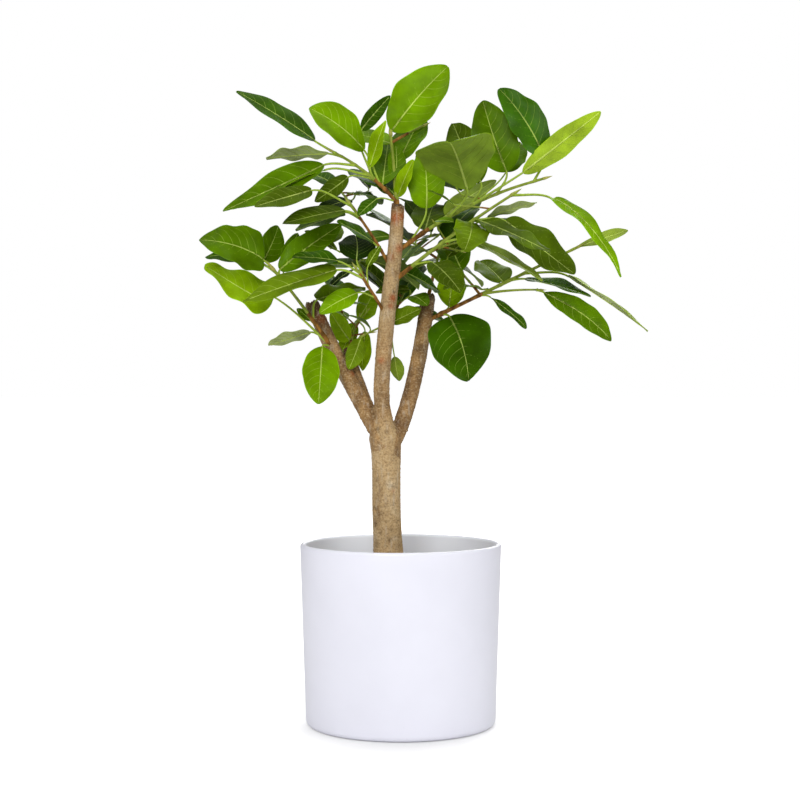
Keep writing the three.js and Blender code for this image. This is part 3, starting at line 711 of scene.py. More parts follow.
# The least and the most of each habit that no two leaves share
HABITS = {
    "wave": (0.7, 3.0), "waves": (1.2, 2.6), "sway": (-0.03, 0.03), "fold": (0.75, 1.35),
    "form": (0.86, 1.2), "ripple": (0.01, 0.035), "ripples": (2.2, 4.2),
}
# Lengths of a small and a large leaf. Sizes that follow a leaf's length are given for FULL_LENGTH
LEAF_SIZES = (35, 105)
FULL_LENGTH = 100
LEAF_ROWS = (20, 46)
LEAF_THICKNESS = 0.9
MARGIN_THICKNESS = 0.4
MARGIN = 0.965
LEAF_COLUMNS = [0, 0.1, 0.22, 0.36, 0.5, 0.64, 0.76, 0.88, MARGIN, 1]
BLADE_START, BLADE_END = 0.004, 0.997
SURFACE_STEP = 0.004
QUILT = 0.42  # how high the skin stands between the veins
VEIN_PAIRS = 8
VEIN_STEPS = 9
VEIN_STAGGER = 0.012  # how far the veins of one half are ahead of those of the other
MIDRIB_STEPS = 18
# Veins: their width from end to end, and how far they stand out above the leaf and below it
MIDRIB_WIDTH, SIDE_VEIN_WIDTH = (1.6, 0.45), (0.66, 0.3)
MIDRIB_LIFT, MIDRIB_KEEL = 0.35, (1.0, 0.25)
SIDE_VEIN_LIFT, SIDE_VEIN_KEEL = 0.2, 0.26
RIDGE_SUNK = 0.08
STALK_STEPS = 12
STALK_SIDES = 8
STALK_SCALE = (0.75, 1.15)
STALK_RADII = (1.5, 1.1)
TWIG_SIDES = 10
TWIG_RINGS = 44
NODE_SWELL, NODE_REACH = 0.22, 0.02  # where a stalk leaves a twig
BARE_END = 0.1  # how far a twig of the rule goes on beyond its last leaf
BUD_LENGTH = 8  # of the twig's radius at its tip
BUD_STEPS = 9


def add_habit(blade, number):
    """A leaf with the small irregularities that no two leaves share."""
    draws = draws_of(random_source(LEAF_SEED + number), 10)
    pick, wave, waves, low, high, sway, fold, form, ripple, ripples = draws
    size = blade["length"] / FULL_LENGTH
    wavy = blade["wavy"]
    bent = mix(*HABITS["sway"], sway) if blade["sway"] is None else blade["sway"]
    return {
        **blade,
        "tone": blade["tone"] or RULED_TONES[int(pick * len(RULED_TONES))],
        "wave": mix(*HABITS["wave"], wave) * size * wavy,
        "waves": mix(*HABITS["waves"], waves),
        "phases": (TURN * low, TURN * high),
        "sway": bent * blade["length"],
        "fold": math.radians(BLADE_FOLD * mix(*HABITS["fold"], fold)),
        "quilt": QUILT * size,
        "veins": VEIN_PAIRS if size > 0.6 else VEIN_PAIRS - 2,
        "slant": blade["width"] / 2 / blade["length"],
        "form": blade["form"] or mix(*HABITS["form"], form),
        "ripple": mix(*HABITS["ripple"], ripple) * wavy,
        "ripples": mix(*HABITS["ripples"], ripples),
    }


def share_of_size(blade):
    """0 for a small leaf, 1 for a large one."""
    small, large = LEAF_SIZES
    return np.clip((blade["length"] - small) / (large - small), 0, 1)


def leaf_half(blade, u, side=0):
    """Half the leaf's width: the rule's outline, its fullest place moved a little and its edge uneven."""
    half = half_width(blade["width"], u ** blade["form"])
    return half * (1 + blade["ripple"] * np.sin(TURN * blade["ripples"] * u + side))


def vein_rise(blade, reach):
    """How far toward the tip a side vein has run, of the leaf's length, where it is reach across."""
    return blade["slant"] * (0.5 * reach + 0.45 * reach**3)


def blade_places(blade, u, v):
    """Places on the blade, u along it and v across it: folded, quilted, waved and swayed sideways."""
    point, normal = midrib(blade, u)
    reach = np.abs(v)
    side = np.where(v > 0, *blade["phases"])
    half = leaf_half(blade, u, side)
    phase = (u - vein_rise(blade, reach)) * blade["veins"]
    quilt = blade["quilt"] * (np.abs(np.sin(math.pi * phase)) ** 0.8 - 0.5) * np.sin(math.pi * reach) ** 0.5
    wave = blade["wave"] * reach**2.2 * np.sin(TURN * blade["waves"] * u + side)
    rise = reach * half * math.sin(blade["fold"]) * (1.25 - 0.5 * reach)
    eased = u ** blade["form"]
    sway = blade["sway"] * 4 * eased * (1 - eased)
    across = (v * half * math.cos(blade["fold"]) + sway)[:, None] * blade["frame"]["across"]
    return point + across + normal * (rise + quilt + wave)[:, None]


def blade_surface(blade, u, v):
    """Places on the blade's middle surface and the ways out of its upper side."""
    places = blade_places(blade, u, v)
    after, before = np.minimum(u + SURFACE_STEP, 1), np.maximum(u - SURFACE_STEP, 0)
    ahead = blade_places(blade, after, v) - blade_places(blade, before, v)
    side = np.where(v >= 0, 1.0, -1.0)
    beside = (blade_places(blade, u, v - side * SURFACE_STEP) - places) * -side[:, None]
    normal = np.cross(beside, ahead)
    normal *= np.sign((normal @ blade["frame"]["face"]))[:, None]
    size = np.linalg.norm(normal, axis=1)[:, None]
    _, plain = midrib(blade, u)
    return places, np.where(size > 1e-9, normal / np.maximum(size, 1e-9), plain)


def blade_thickness(blade, v):
    return mix(LEAF_THICKNESS, MARGIN_THICKNESS, np.abs(v)) * (0.4 + 0.6 * blade["length"] / FULL_LENGTH)


def add_blade(soup, blade):
    """A thin closed leaf: an upper side, an under side and the margin that joins them."""
    rows = int(mix(*LEAF_ROWS, share_of_size(blade)))
    t = np.linspace(0, 1, rows)
    u_line = mix(BLADE_START, BLADE_END, t - np.sin(TURN * t) / TURN * 0.75)
    v_line = np.array([*[-v for v in LEAF_COLUMNS[:0:-1]], *LEAF_COLUMNS], float)
    columns = len(v_line)
    below = rows * columns
    u, v = [axis.ravel() for axis in np.meshgrid(u_line, v_line, indexing="ij")]
    places, normal = blade_surface(blade, u, v)
    half = blade_thickness(blade, v)[:, None] / 2
    points = np.concatenate([places + normal * half, places - normal * half])
    upper = grid_faces(rows, columns)
    lower = grid_faces(rows, columns, first=below, flip=True)
    ring = np.concatenate([
        np.arange(columns), np.arange(1, rows) * columns + columns - 1,
        (rows - 1) * columns + np.arange(columns - 2, -1, -1), np.arange(rows - 2, 0, -1) * columns,
    ])
    after = np.roll(ring, -1)
    rim = np.stack([ring, ring + below, after + below, after], axis=1)
    edge = np.tile(np.minimum(np.abs(v_line[:-1]), np.abs(v_line[1:])) >= MARGIN - 1e-6, rows - 1)
    slots = np.concatenate([np.where(edge, 2, 0), np.where(edge, 2, 1), np.full(len(rim), 2)])
    # Turned so that the upper side's faces look the way of its normals
    a, b, d = points[upper[len(upper) // 2][[0, 1, 3]]]
    outward = np.cross(b - a, d - a) @ blade["frame"]["face"] > 0
    faces = np.concatenate([upper, lower, rim])
    soup.add(points, (faces if outward else faces[:, ::-1], slots))


def add_ridge(soup, blade, u, v, across_u, across_v, lift, side, slot):
    """A closed ridge along a line of the blade, with its keen sides sunk into the leaf."""
    rows = []
    for shift in (-1, 0, 1):
        places, normal = blade_surface(blade, np.clip(u + shift * across_u, 0, 1), v + shift * across_v)
        surface = blade_thickness(blade, v)[:, None] / 2
        height = lift[:, None] if shift == 0 else -RIDGE_SUNK
        rows.append(places + side * normal * (surface + height))
    points = np.stack(rows, axis=1).reshape(-1, 3)
    count = len(u)
    faces = grid_faces(count, 3, around=True)
    ends = np.array([[2, 1, 0], [3 * count - 3, 3 * count - 2, 3 * count - 1]])
    a, b, c, d = points[3:7]
    if np.cross(b - a, c - a) @ (d - a) < 0:
        faces, ends = faces[:, ::-1], ends[:, ::-1]
    soup.add(points, (faces, slot), (ends, slot))


def add_veins(soup, blade):
    """The midrib and the side veins on both sides of a leaf: slot 0 and slot 1."""
    size = blade["length"] / FULL_LENGTH
    for side in (1, -1):
        u = np.linspace(0.002, 0.975, MIDRIB_STEPS)
        half = np.maximum(leaf_half(blade, u), 0.5)
        wide = mix(*MIDRIB_WIDTH, u) * size**0.5
        lift = np.full(len(u), MIDRIB_LIFT) if side > 0 else mix(*MIDRIB_KEEL, u) * size
        add_ridge(soup, blade, u, np.zeros(len(u)), 0, np.minimum(wide / half, 0.5), lift, side, 0)
        for number in range(1, blade["veins"]):
            for way in (1, -1):
                reach = np.linspace(0.01, 0.93, VEIN_STEPS)
                start = number / blade["veins"]
                u = start + vein_rise(blade, reach) + (0 if way > 0 else VEIN_STAGGER)
                keep = u < 0.965
                if keep.sum() < 3:
                    continue
                u, reach = u[keep], reach[keep]
                wide = mix(*SIDE_VEIN_WIDTH, reach) * size**0.5 / blade["length"]
                lift = np.full(len(u), SIDE_VEIN_LIFT if side > 0 else SIDE_VEIN_KEEL)
                add_ridge(soup, blade, u, reach * way, wide, 0, lift, side, 1)


def add_stalk(soup, blade):
    """A leaf's stalk, with a swollen heel, from its twig to a little way under the midrib."""
    start = midrib(blade, 0)[0][0]
    ahead = unit(midrib(blade, 0.05)[0][0] - start)
    third = blade["stalk"] / 3
    foot = blade["foot"]
    controls = [foot, foot + blade["lean"] * third, start - ahead * third, start + ahead * 1.5]
    path = bezier(controls, STALK_STEPS)
    along = np.linspace(0, 1, STALK_STEPS)
    radii = mix(*STALK_SCALE, share_of_size(blade)) * (mix(*STALK_RADII, along) + 0.5 * np.exp(-along * 14))
    add_tube(soup, path, radii, STALK_SIDES)


def add_twig(stems, twig, leaf_places):
    """A twig, woody at its foot and green beyond, swollen at its leaves, with a bud at its tip."""
    points = curve_through(twig["points"], TWIG_RINGS)
    at = np.linspace(0, 1, len(points))
    radii = np.interp(at, np.linspace(0, 1, len(twig["radii"])), twig["radii"])
    for place in leaf_places:
        radii = radii * (1 + NODE_SWELL * bell(at - place, NODE_REACH))
    turn = int(twig["woody"] * (len(points) - 1))
    if not twig["named"]:
        last = max([*leaf_places, *twig["borne"]]) + BARE_END
        rings = math.ceil(last * len(points))
        points, radii = points[:rings], radii[:rings]
    if turn >= 2:
        add_tube(stems["twigs_woody"], points[:turn + 1], radii[:turn + 1], TWIG_SIDES)
    green = max(turn - 1, 0)
    add_tube(stems["twigs_green"], points[green:], radii[green:] * 0.97, TWIG_SIDES)
    add_bud(stems["buds"], points[-1], unit(points[-1] - points[-3]), radii[-1])


def add_bud(soup, foot, ahead, radius):
    """A pointed sheathed bud, a little stouter than its twig."""
    along = np.linspace(0, 1, BUD_STEPS)
    shape = (1 - along) ** 0.7 * (1 + 0.35 * np.sin(math.pi * along**0.6))
    places = foot + ahead * (along * BUD_LENGTH * radius - radius)[:, None]
    add_tube(soup, places, np.maximum(radius * 1.05 * shape, 0.12), TWIG_SIDES)


# Bark

TRUNK_FOOT = 186  # the bark goes on down to here, inside the soil
BARK_SIDES = 40
BARK_GUIDES = 90  # places along each limb that its bark is shaped from
VOXEL = 1.15
BARK_SWELL = 0.5  # what the smoothing takes off the bark
PORE_SIZE, CRACK_WIDTH = 0.33, 0.16
RING_SCAR_REACH = 1.1
# Pruned ends: how wide and deep the cut wood is, how far the bark round it darkens and how fast that fades
CUT_REACH, CUT_DEPTH, CUT_SPAN, CUT_FADE = 12, 1.6, 14.832, 3
JAG_DEPTH, JAG_HEIGHT = 7, 4.5
# Knots: place on the way out from the limb's middle, size and height
KNOTS = [
    ((-26, -16, 357), 5.5, 1.6), ((-11, -17, 303), 6.5, 1.5), ((-31, -12, 266), 7, 1.1),
    ((-7, -11, 549), 3, 1.0), ((-23, -10, 473), 4.5, 1.4), ((-8, -13, 539), 4, 0.8),
    ((-2, -16, 248), 5, 0.9), ((-16, 17, 300), 6, 1.4), ((-32, 8, 330), 5, 1.2), ((-70, 4, 452), 4, 1.1),
    ((19, 18, 430), 4, 1.1), ((-88, 25, 490), 4, 1.0), ((-12, 10, 420), 4, 1.2), ((36, 36, 505), 3.5, 1.0),
]
# Ring scars: height above the floor, and how far they stand out
RING_SCARS = [
    (365, 0.8), (381, 0.55), (318, 0.4), (455, 0.5), (505, 0.45), (560, 0.5), (600, 0.45), (238, 0.4),
]
# Rust-red, pale and dark patches on the bark: place, size and strength. Some dark patches lie round the feet
# of the boughs, by the fork.
BARK_PATCHES = {
    "rust": [
        ((-8, -17, 291), 2.6, 0.8), ((-24, -10, 452), 4, 0.8), ((-9, -13, 529), 4.8, 0.95),
        ((-12, -12, 519), 3.8, 0.7), ((0, -13, 590), 6.5, 0.8), ((-12, -11, 580), 5, 0.6),
        ((3, -10, 557), 5, 0.7), ((-7, -13, 628), 8, 0.85), ((2, -11, 630), 7, 0.8),
        ((-4, 3, 629), 8, 0.7), ((-100, 14, 505), 7, 0.5), ((-16, -12, 409), 2.4, 0.6),
        ((24, 14, 462), 3.2, 0.7), ((-60, 6, 436), 3.4, 0.6), ((-20, 12, 398), 4, 0.7),
    ],
    "pale": [
        ((-13, -17, 298), 4.6, 0.8), ((-25, -14, 346), 3.6, 0.6), ((-5, -16, 232), 3.4, 0.6),
        ((-18, -13, 436), 3, 0.4), ((-14, -14, 512), 5, 0.35), ((-9, -12, 600), 6, 0.4),
    ],
    "dark": [
        ((-31, -10, 250), 5, 0.7), ((-27, -13, 262), 3, 0.5), ((-8, -13, 537), 2.2, 0.85),
        ((-22, -10, 471), 2.6, 0.7), ((-90, 6, 468), 3.4, 0.7), ((-12, -16, 243), 2.6, 0.5),
        ((-31, -10, 346), 2.6, 0.6), ((8, -10, 238), 3.2, 0.4), ((-36, 0, 382), 10, 0.5),
        ((3, 0, 374), 10, 0.5), ((24, 14, 470), 7, 0.5), ((-8, -12, 643), 7, 0.95),
        ((1, -11, 644), 7, 0.95), ((-4, 2, 643), 8, 0.9), ((-106, 16, 517), 13, 0.6),
        ((-44, 12, 402), 6, 0.6), ((-51, 16, 420), 6, 0.65), ((-58, 20, 440), 6, 0.65),
        ((-65, 24, 460), 7, 0.65), ((-28, -13, 367), 3.2, 0.7), ((-17, -17, 364), 2.8, 0.6),
        ((-6, -17, 366), 2.6, 0.5), ((2, -14, 372), 3.4, 0.55), ((0, -16, 222), 6, 0.5),
        ((-30, -11, 224), 4.6, 0.5), ((-14, -18, 230), 2.8, 0.55), ((-24, -15, 240), 2.4, 0.5),
        ((-4, -17, 258), 2.4, 0.55), ((-19, -17, 272), 2.2, 0.55), ((4, -13, 292), 3.2, 0.5),
        ((-28, -12, 304), 3.4, 0.5), ((-22, -15, 322), 2.6, 0.5), ((-7, -17, 334), 2.2, 0.5),
        ((2, -14, 346), 2.6, 0.45), ((-15, -17, 312), 1.8, 0.5), ((-39, 3, 391), 6, 0.6),
        ((25, 24, 466), 8, 0.75),
    ],
}
# How far the trunk's bark has turned from trunk to bough: place along the trunk and share
TRUNK_AGES = [
    (0, 0), (0.37, 0.05), (0.43, 0.38), (0.62, 0.38), (0.69, 0.12), (0.92, 0.1), (0.96, 0.4), (1, 0.9),
]
BOUGH_AGE = 0.42
# How much stouter the photo shows a bough than its solid, beyond its foot, and how far to one side
LIMB_SWELL = {"bough_left": 1.4, "bough_right": 1.1, "stub_left": 1.2}
LIMB_NUDGE = {"bough_left": (-1.5, 0, 0), "stub_left": (0.8, -2.2, 0)}


def noise_at(place, across, along):
    """Noise from -1 to 1 at a place, repeating as often across and along a limb as asked."""
    x, y, z = place
    return noise.noise(Vector((x * across, y * across, z * along)))


def bark_relief(place, age):
    """How far the bark stands out at a place: wrinkles, cracks along the limb, grain and pores."""
    x, y, z = place
    wrinkle = noise_at(place, 0.11, 0.5)
    crack = -max(0.0, CRACK_WIDTH - abs(noise_at(place, 0.42, 0.075))) / CRACK_WIDTH
    grain = noise_at(place, 0.6, 0.6)
    pore = max(0.0, PORE_SIZE - noise.voronoi(Vector((x * 0.26, y * 0.26, z * 0.42)))[0][0]) * 2.6
    return 0.32 * wrinkle + 0.33 * crack + 0.16 * grain + 0.42 * pore + 0.05 * age


def knot_relief(place):
    """The knots, each a raised lip round a small hollow, and the ring scars."""
    total = 0.0
    for at, size, height in KNOTS:
        apart = math.dist(place, at) / size
        if apart < 2:
            total += height * (bell(apart - 0.75, 0.32) - 0.7 * bell(apart, 0.4))
    for height, lift in RING_SCARS:
        total += lift * bell(place[2] - height, RING_SCAR_REACH)
    return total


def cut_share(place, tips):
    """1 on a pruned end, fading away down its limb."""
    share = 0.0
    for tip, way in tips:
        apart = tip - place
        if apart @ apart < CUT_SPAN**2:
            share = max(share, math.exp(-max(0.0, apart @ way) / CUT_FADE))
    return share


def jagged_ends(places, tips):
    """How far the broken wood of the pruned ends stands out or sinks in, along the limb."""
    shifts = np.zeros_like(places)
    for tip, way in tips:
        depth = (tip - places) @ way
        near = (depth < JAG_DEPTH) & (np.linalg.norm(places - tip, axis=1) < CUT_REACH)
        for i in np.flatnonzero(near):
            rise = noise_at(places[i], 0.24, 0.24) + 0.5 * noise_at(places[i], 0.7, 0.7)
            shifts[i] = way * rise * JAG_HEIGHT * (1 - max(depth[i], 0) / JAG_DEPTH)
    return shifts


def bark_piece(limbs, materials):
    """Trunk, leader and boughs as one skin, remeshed fine and given its relief."""
    soup = Soup()
    for name, limb in limbs.items():
        points, radii = limb["points"], limb["radii"]
        if name == "trunk":
            points = np.concatenate([[[*points[0][:2], TRUNK_FOOT]], points])
            radii = np.concatenate([[radii[0]], radii])
        add_tube(soup, points, radii, BARK_SIDES)
    piece = soup.build("bark", materials)
    remesh = piece.modifiers.new("skin", "REMESH")
    remesh.mode = "VOXEL"
    remesh.voxel_size = VOXEL * MM
    mesh = bpy.data.meshes.new_from_object(piece.evaluated_get(bpy.context.evaluated_depsgraph_get()))
    piece.modifiers.clear()
    piece.data = mesh
    smooth_mesh(mesh)
    shape_bark(mesh, limbs)
    mesh.materials.clear()
    add_materials(mesh, materials)
    mesh.shade_smooth()
    return piece


def smooth_mesh(mesh):
    """Evens out the steps that the remesh leaves."""
    skin = bmesh.new()
    skin.from_mesh(mesh)
    for _ in range(3):
        bmesh.ops.smooth_vert(
            skin, verts=skin.verts, factor=0.5, use_axis_x=True, use_axis_y=True, use_axis_z=True
        )
    skin.to_mesh(mesh)
    skin.free()
    mesh.update()


def limb_guides(limbs):
    """For places along the limbs: a search tree, and the bark's age, swell and nudge at each of them."""
    places, ages, swells, nudges = [], [], [], []
    for name, limb in limbs.items():
        for at in np.linspace(0, 1, BARK_GUIDES):
            beyond = smooth_step(at, 0, 0.2)
            places.append(point_along(limb["points"], at))
            ages.append(np.interp(at, *zip(*TRUNK_AGES)) if name == "trunk" else mix(BOUGH_AGE, 1, at))
            swells.append(BARK_SWELL + LIMB_SWELL.get(name, 0) * beyond)
            nudges.append(np.array(LIMB_NUDGE.get(name, (0, 0, 0))) * beyond)
    tree = kdtree.KDTree(len(places))
    for i, place in enumerate(places):
        tree.insert(place, i)
    tree.balance()
    return tree, ages, swells, nudges


def vectors_of(rows, name):
    values = np.zeros(len(rows) * 3)
    rows.foreach_get(name, values)
    return values.reshape(-1, 3)


def add_share(mesh, name, values):
    mesh.attributes.new(name, "FLOAT", "POINT").data.foreach_set("value", values)


def shape_bark(mesh, limbs):
    """Moves the bark out by its relief, and notes its age and its patches of colour for the material."""
    places = vectors_of(mesh.vertices, "co") / MM
    normals = vectors_of(mesh.vertex_normals, "vector")
    tips = [(limb["points"][-1], unit(limb["points"][-1] - limb["points"][-2])) for limb in limbs.values()]
    tree, ages, swells, nudges = limb_guides(limbs)
    age, shift, nudge = np.zeros(len(places)), np.zeros(len(places)), np.zeros_like(places)
    for i, place in enumerate(places):
        _, near, _ = tree.find(place)
        cut = cut_share(place, tips)
        shift[i] = swells[near] + bark_relief(place, ages[near]) * (1 - 0.6 * cut) + knot_relief(place)
        nudge[i] = nudges[near]
        age[i] = max(ages[near], cut)
    places += normals * shift[:, None] + nudge + jagged_ends(places, tips)
    mesh.vertices.foreach_set("co", (places * MM).ravel())
    add_share(mesh, "age", age)
    for patch, spots in BARK_PATCHES.items():
        share = np.zeros(len(places))
        for at, size, strength in spots:
            share = np.maximum(share, strength * bell(np.linalg.norm(places - at, axis=1), size))
        add_share(mesh, patch, share)
    for face in mesh.polygons:
        if on_cut(np.array(face.center) / MM, tips):
            face.material_index = 1
    mesh.update()


def on_cut(place, tips):
    """Whether a place lies on the cut wood of a pruned end."""
    for tip, way in tips:
        if (tip - place) @ way < CUT_DEPTH and np.linalg.norm(tip - place) < CUT_REACH:
            return True
    return False


# Planter and soil

POT_SEGMENTS = 192
BASE_RING = 60
LIP_STEPS, WALL_STEPS, CORNER_STEPS = 17, 14, 9
SOIL_RINGS, SOIL_SECTORS = 56, 180
# The soil's unevenness: how close its lumps are, where the noise is cut and how high they stand
SOIL_LUMPS = [(0.09, 3.1, 1.6), (0.28, 7.7, 1.0), (0.7, 1.3, 0.6)]
CRUMB_MARGIN = 6  # that the crumbs keep off the pot
TRUNK_ROOM = 28  # that the crumbs leave free round the trunk's middle


def pot_piece(materials):
    """The planter turned smooth, with the same profile as its solid: slot 0 outside and slot 1 inside."""
    foot, rim, height = POT["foot_radius"], POT["rim_radius"], POT["height"]
    floor, corner = POT["floor"], POT["corner"]
    inner = foot - POT["wall"]
    lip = POT["wall"] / 2
    turn = np.linspace(0, math.pi, LIP_STEPS)
    edge = np.stack([rim - lip + lip * np.cos(turn), height - lip + lip * np.sin(turn)], axis=1)
    outer = bezier([(foot - corner, 0), (foot, 0), (mix(foot, rim, corner / height), corner)], CORNER_STEPS)
    well = bezier([(inner, floor + corner), (inner, floor), (inner - corner, floor)], CORNER_STEPS)
    up = np.linspace(0, 1, WALL_STEPS)[1:-1, None]
    wall_out = mix(outer[-1], edge[0], up)
    wall_in = mix(edge[-1], well[0], up)
    profile = np.concatenate([[(BASE_RING, 0)], outer, wall_out, edge, wall_in, well, [(BASE_RING, floor)]])
    angles = np.linspace(0, TURN, POT_SEGMENTS, endpoint=False)
    around = np.stack([np.cos(angles), np.sin(angles), np.zeros(POT_SEGMENTS)], axis=1)
    skin = profile[:, None, :1] * around[None] + profile[:, None, 1:] * UP
    quads, fans = ring_faces(len(profile), POT_SEGMENTS)
    inside_from = 1 + len(outer) + len(wall_out) + len(edge) * 3 // 4
    rows = np.arange(len(quads)) // POT_SEGMENTS
    soup = Soup()
    soup.add(
        np.concatenate([skin.reshape(-1, 3), [(0, 0, 0), (0, 0, floor)]]),
        (quads, rows >= inside_from), (fans, np.arange(len(fans)) // POT_SEGMENTS),
    )
    return soup.build("pot_glazed", materials)


def soil_reach(z):
    return mix(POT["foot_radius"], POT["rim_radius"], z / POT["height"]) - POT["wall"] - SOIL_SLACK


def soil_height(x, y):
    fall = SOIL_EDGE_DROP * (math.hypot(x, y) / soil_reach(SOIL_TOP)) ** 4
    lumps = sum(noise.noise(Vector((x * often, y * often, cut))) * high for often, cut, high in SOIL_LUMPS)
    return SOIL_TOP - 1 - fall + lumps


def soil_piece(material):
    """The soil as one closed body with a crumbly top."""
    angles = np.linspace(0, TURN, SOIL_SECTORS, endpoint=False)
    around = [(math.cos(angle), math.sin(angle)) for angle in angles]
    bottom = POT["floor"] + GAP
    shoulder = POT["floor"] + POT["corner"] + SOIL_SLACK
    wide = soil_reach(shoulder)
    points = []
    for radius in np.linspace(2, soil_reach(SOIL_TOP - SOIL_EDGE_DROP), SOIL_RINGS):
        points += [(radius * x, radius * y, soil_height(radius * x, radius * y)) for x, y in around]
    for radius, z in ((wide, shoulder), (wide - POT["corner"], bottom)):
        points += [(radius * x, radius * y, z) for x, y in around]
    points += [(0, 0, soil_height(0, 0)), (0, 0, bottom)]
    quads, fans = ring_faces(SOIL_RINGS + 2, SOIL_SECTORS, flip=True)
    soup = Soup()
    soup.add(points, (quads, 0), (fans, 0))
    return soup.build("soil_bed", [material])


def ball_skin():
    """The corners and faces of a small faceted ball."""
    ball = bmesh.new()
    bmesh.ops.create_icosphere(ball, subdivisions=1, radius=1)
    corners = np.array([vert.co for vert in ball.verts])
    faces = np.array([[vert.index for vert in face.verts] for face in ball.faces])
    ball.free()
    return corners, faces


def crumb_piece(name, count, seed, sizes, material):
    """Loose crumbs strewn over the soil: small lumps with uneven faces, each sunk a little."""
    corners, faces = ball_skin()
    random = random_source(seed)
    reach = soil_reach(SOIL_TOP) - CRUMB_MARGIN
    soup = Soup()
    while soup.count < count * len(corners):
        angle, place, size, flat, turn = draws_of(random, 5)
        radius = reach * math.sqrt(place)
        x, y = radius * math.cos(TURN * angle), radius * math.sin(TURN * angle)
        if math.dist((x, y), TRUNK_PATH[0][:2]) < TRUNK_ROOM:
            continue
        grain = mix(*sizes, size**2)
        shape = corners * (grain * mix(1, 1.7, turn), grain, grain * mix(0.45, 0.8, flat))
        rough = [1 + 0.28 * noise.noise(Vector(corner * 1.7) + Vector((x, y, 0))) for corner in corners]
        cosine, sine = math.cos(TURN * turn), math.sin(TURN * turn)
        spin = np.array([[cosine, -sine, 0], [sine, cosine, 0], [0, 0, 1]])
        lump = (shape * np.array(rough)[:, None]) @ spin.T
        soup.add(lump + (x, y, soil_height(x, y) + grain * 0.2), (faces, 0))
    return soup.build(name, [material])


# Materials

BARK_PALE, BARK_MID, BARK_DARK = (212, 186, 144), (188, 158, 114), (142, 110, 72)
BOUGH_MID, BOUGH_DARK = (180, 140, 90), (116, 84, 52)
TIP_MID, TIP_DARK = (106, 68, 42), (60, 38, 22)
CUT_MID, CUT_DARK = (104, 62, 44), (58, 32, 24)
GRAIN_DARK, GRAIN_PALE, STREAK_GREY = (104, 78, 50), (224, 204, 168), (204, 190, 170)
PATCH_COLORS = {"rust": (166, 76, 30), "pale": (226, 208, 176), "dark": (74, 50, 34)}
GLAZE_SPECKS = (196, 196, 198)
VEIN_GREEN = (205, 222, 120)
VEIN_SHARES = {"midrib": 0.74, "side_veins": 0.42}


def tone(upper, under, roughness, coat, slot):
    """A leaf's greens on its upper and its under side, with the leaf's light and shade painted in, and its
    shine.
    """
    return {"upper": upper, "under": under, "roughness": roughness, "coat": coat, "slot": slot}


# Lit and shaded copies of one leaf green: bright and lime are painted light, on a leaf and through it; deep
# and dark are painted shade; the others lie between
LIT_AND_SHADED_TONES = {
    "bright": tone((104, 142, 0), (138, 166, 48), 0.46, 0.02, "leaves_top"),
    "lime": tone((128, 162, 6), (148, 176, 36), 0.5, 0, "leaves_top"),
    "mid": tone((80, 114, 0), (112, 138, 48), 0.42, 0.03, "leaves_light"),
    "moss": tone((74, 96, 8), (108, 128, 58), 0.46, 0, "leaves_light"),
    "deep": tone((52, 86, 0), (96, 122, 54), 0.44, 0.03, "leaves_deep"),
    "glossy": tone((56, 100, 0), (96, 122, 54), 0.34, 0.25, "leaves_deep"),
    "dark": tone((28, 48, 0), (84, 104, 52), 0.5, 0, "leaves_deep"),
    "olive": tone((98, 124, 12), (120, 146, 40), 0.44, 0, "leaves_light"),
    "pale": tone((130, 152, 44), (162, 176, 112), 0.4, 0.05, "leaves_deep"),
}
# Stems: material, its darker and lighter colour and roughness, and slot
STEMS = {
    "leaf_stalks": ("stalk_green", (142, 166, 48), (164, 188, 68), 0.42, "leaves_light"),
    "twigs_green": ("twig_green", (122, 140, 42), (148, 162, 62), 0.5, "leaves_light"),
    "twigs_woody": ("twig_brown", (92, 60, 22), (162, 114, 50), 0.72, "bark"),
    "buds": ("bud_green", (144, 154, 62), (178, 172, 92), 0.45, "leaves_top"),
}


def linear(color):
    """A display colour, each part from 0 to 255, as the renderer's own linear light."""
    shares = [part / 255 for part in color]
    return [s / 12.92 if s <= 0.04045 else ((s + 0.055) / 1.055) ** 2.4 for s in shares] + [1]


def scaled(color, share):
    return tuple(min(255, part * share) for part in color)


def mix_colors(first, second, share):
    return tuple(mix(a, b, share) for a, b in zip(first, second))


def add_node(tree, kind, inputs, **settings):
    """A node of the kind with its settings, and each input set to a value or linked to an output."""
    node = tree.nodes.new(kind)
    for name, value in settings.items():
        setattr(node, name, value)
    for socket, value in inputs.items():
        if isinstance(value, bpy.types.NodeSocket):
            tree.links.new(value, node.inputs[socket])
        else:
            node.inputs[socket].default_value = value
    return node


def range_node(tree, value, low, high, first=0, last=1):
    ends = {"From Min": low, "From Max": high, "To Min": first, "To Max": last}
    return add_node(tree, "ShaderNodeMapRange", {"Value": value, **ends}).outputs["Result"]


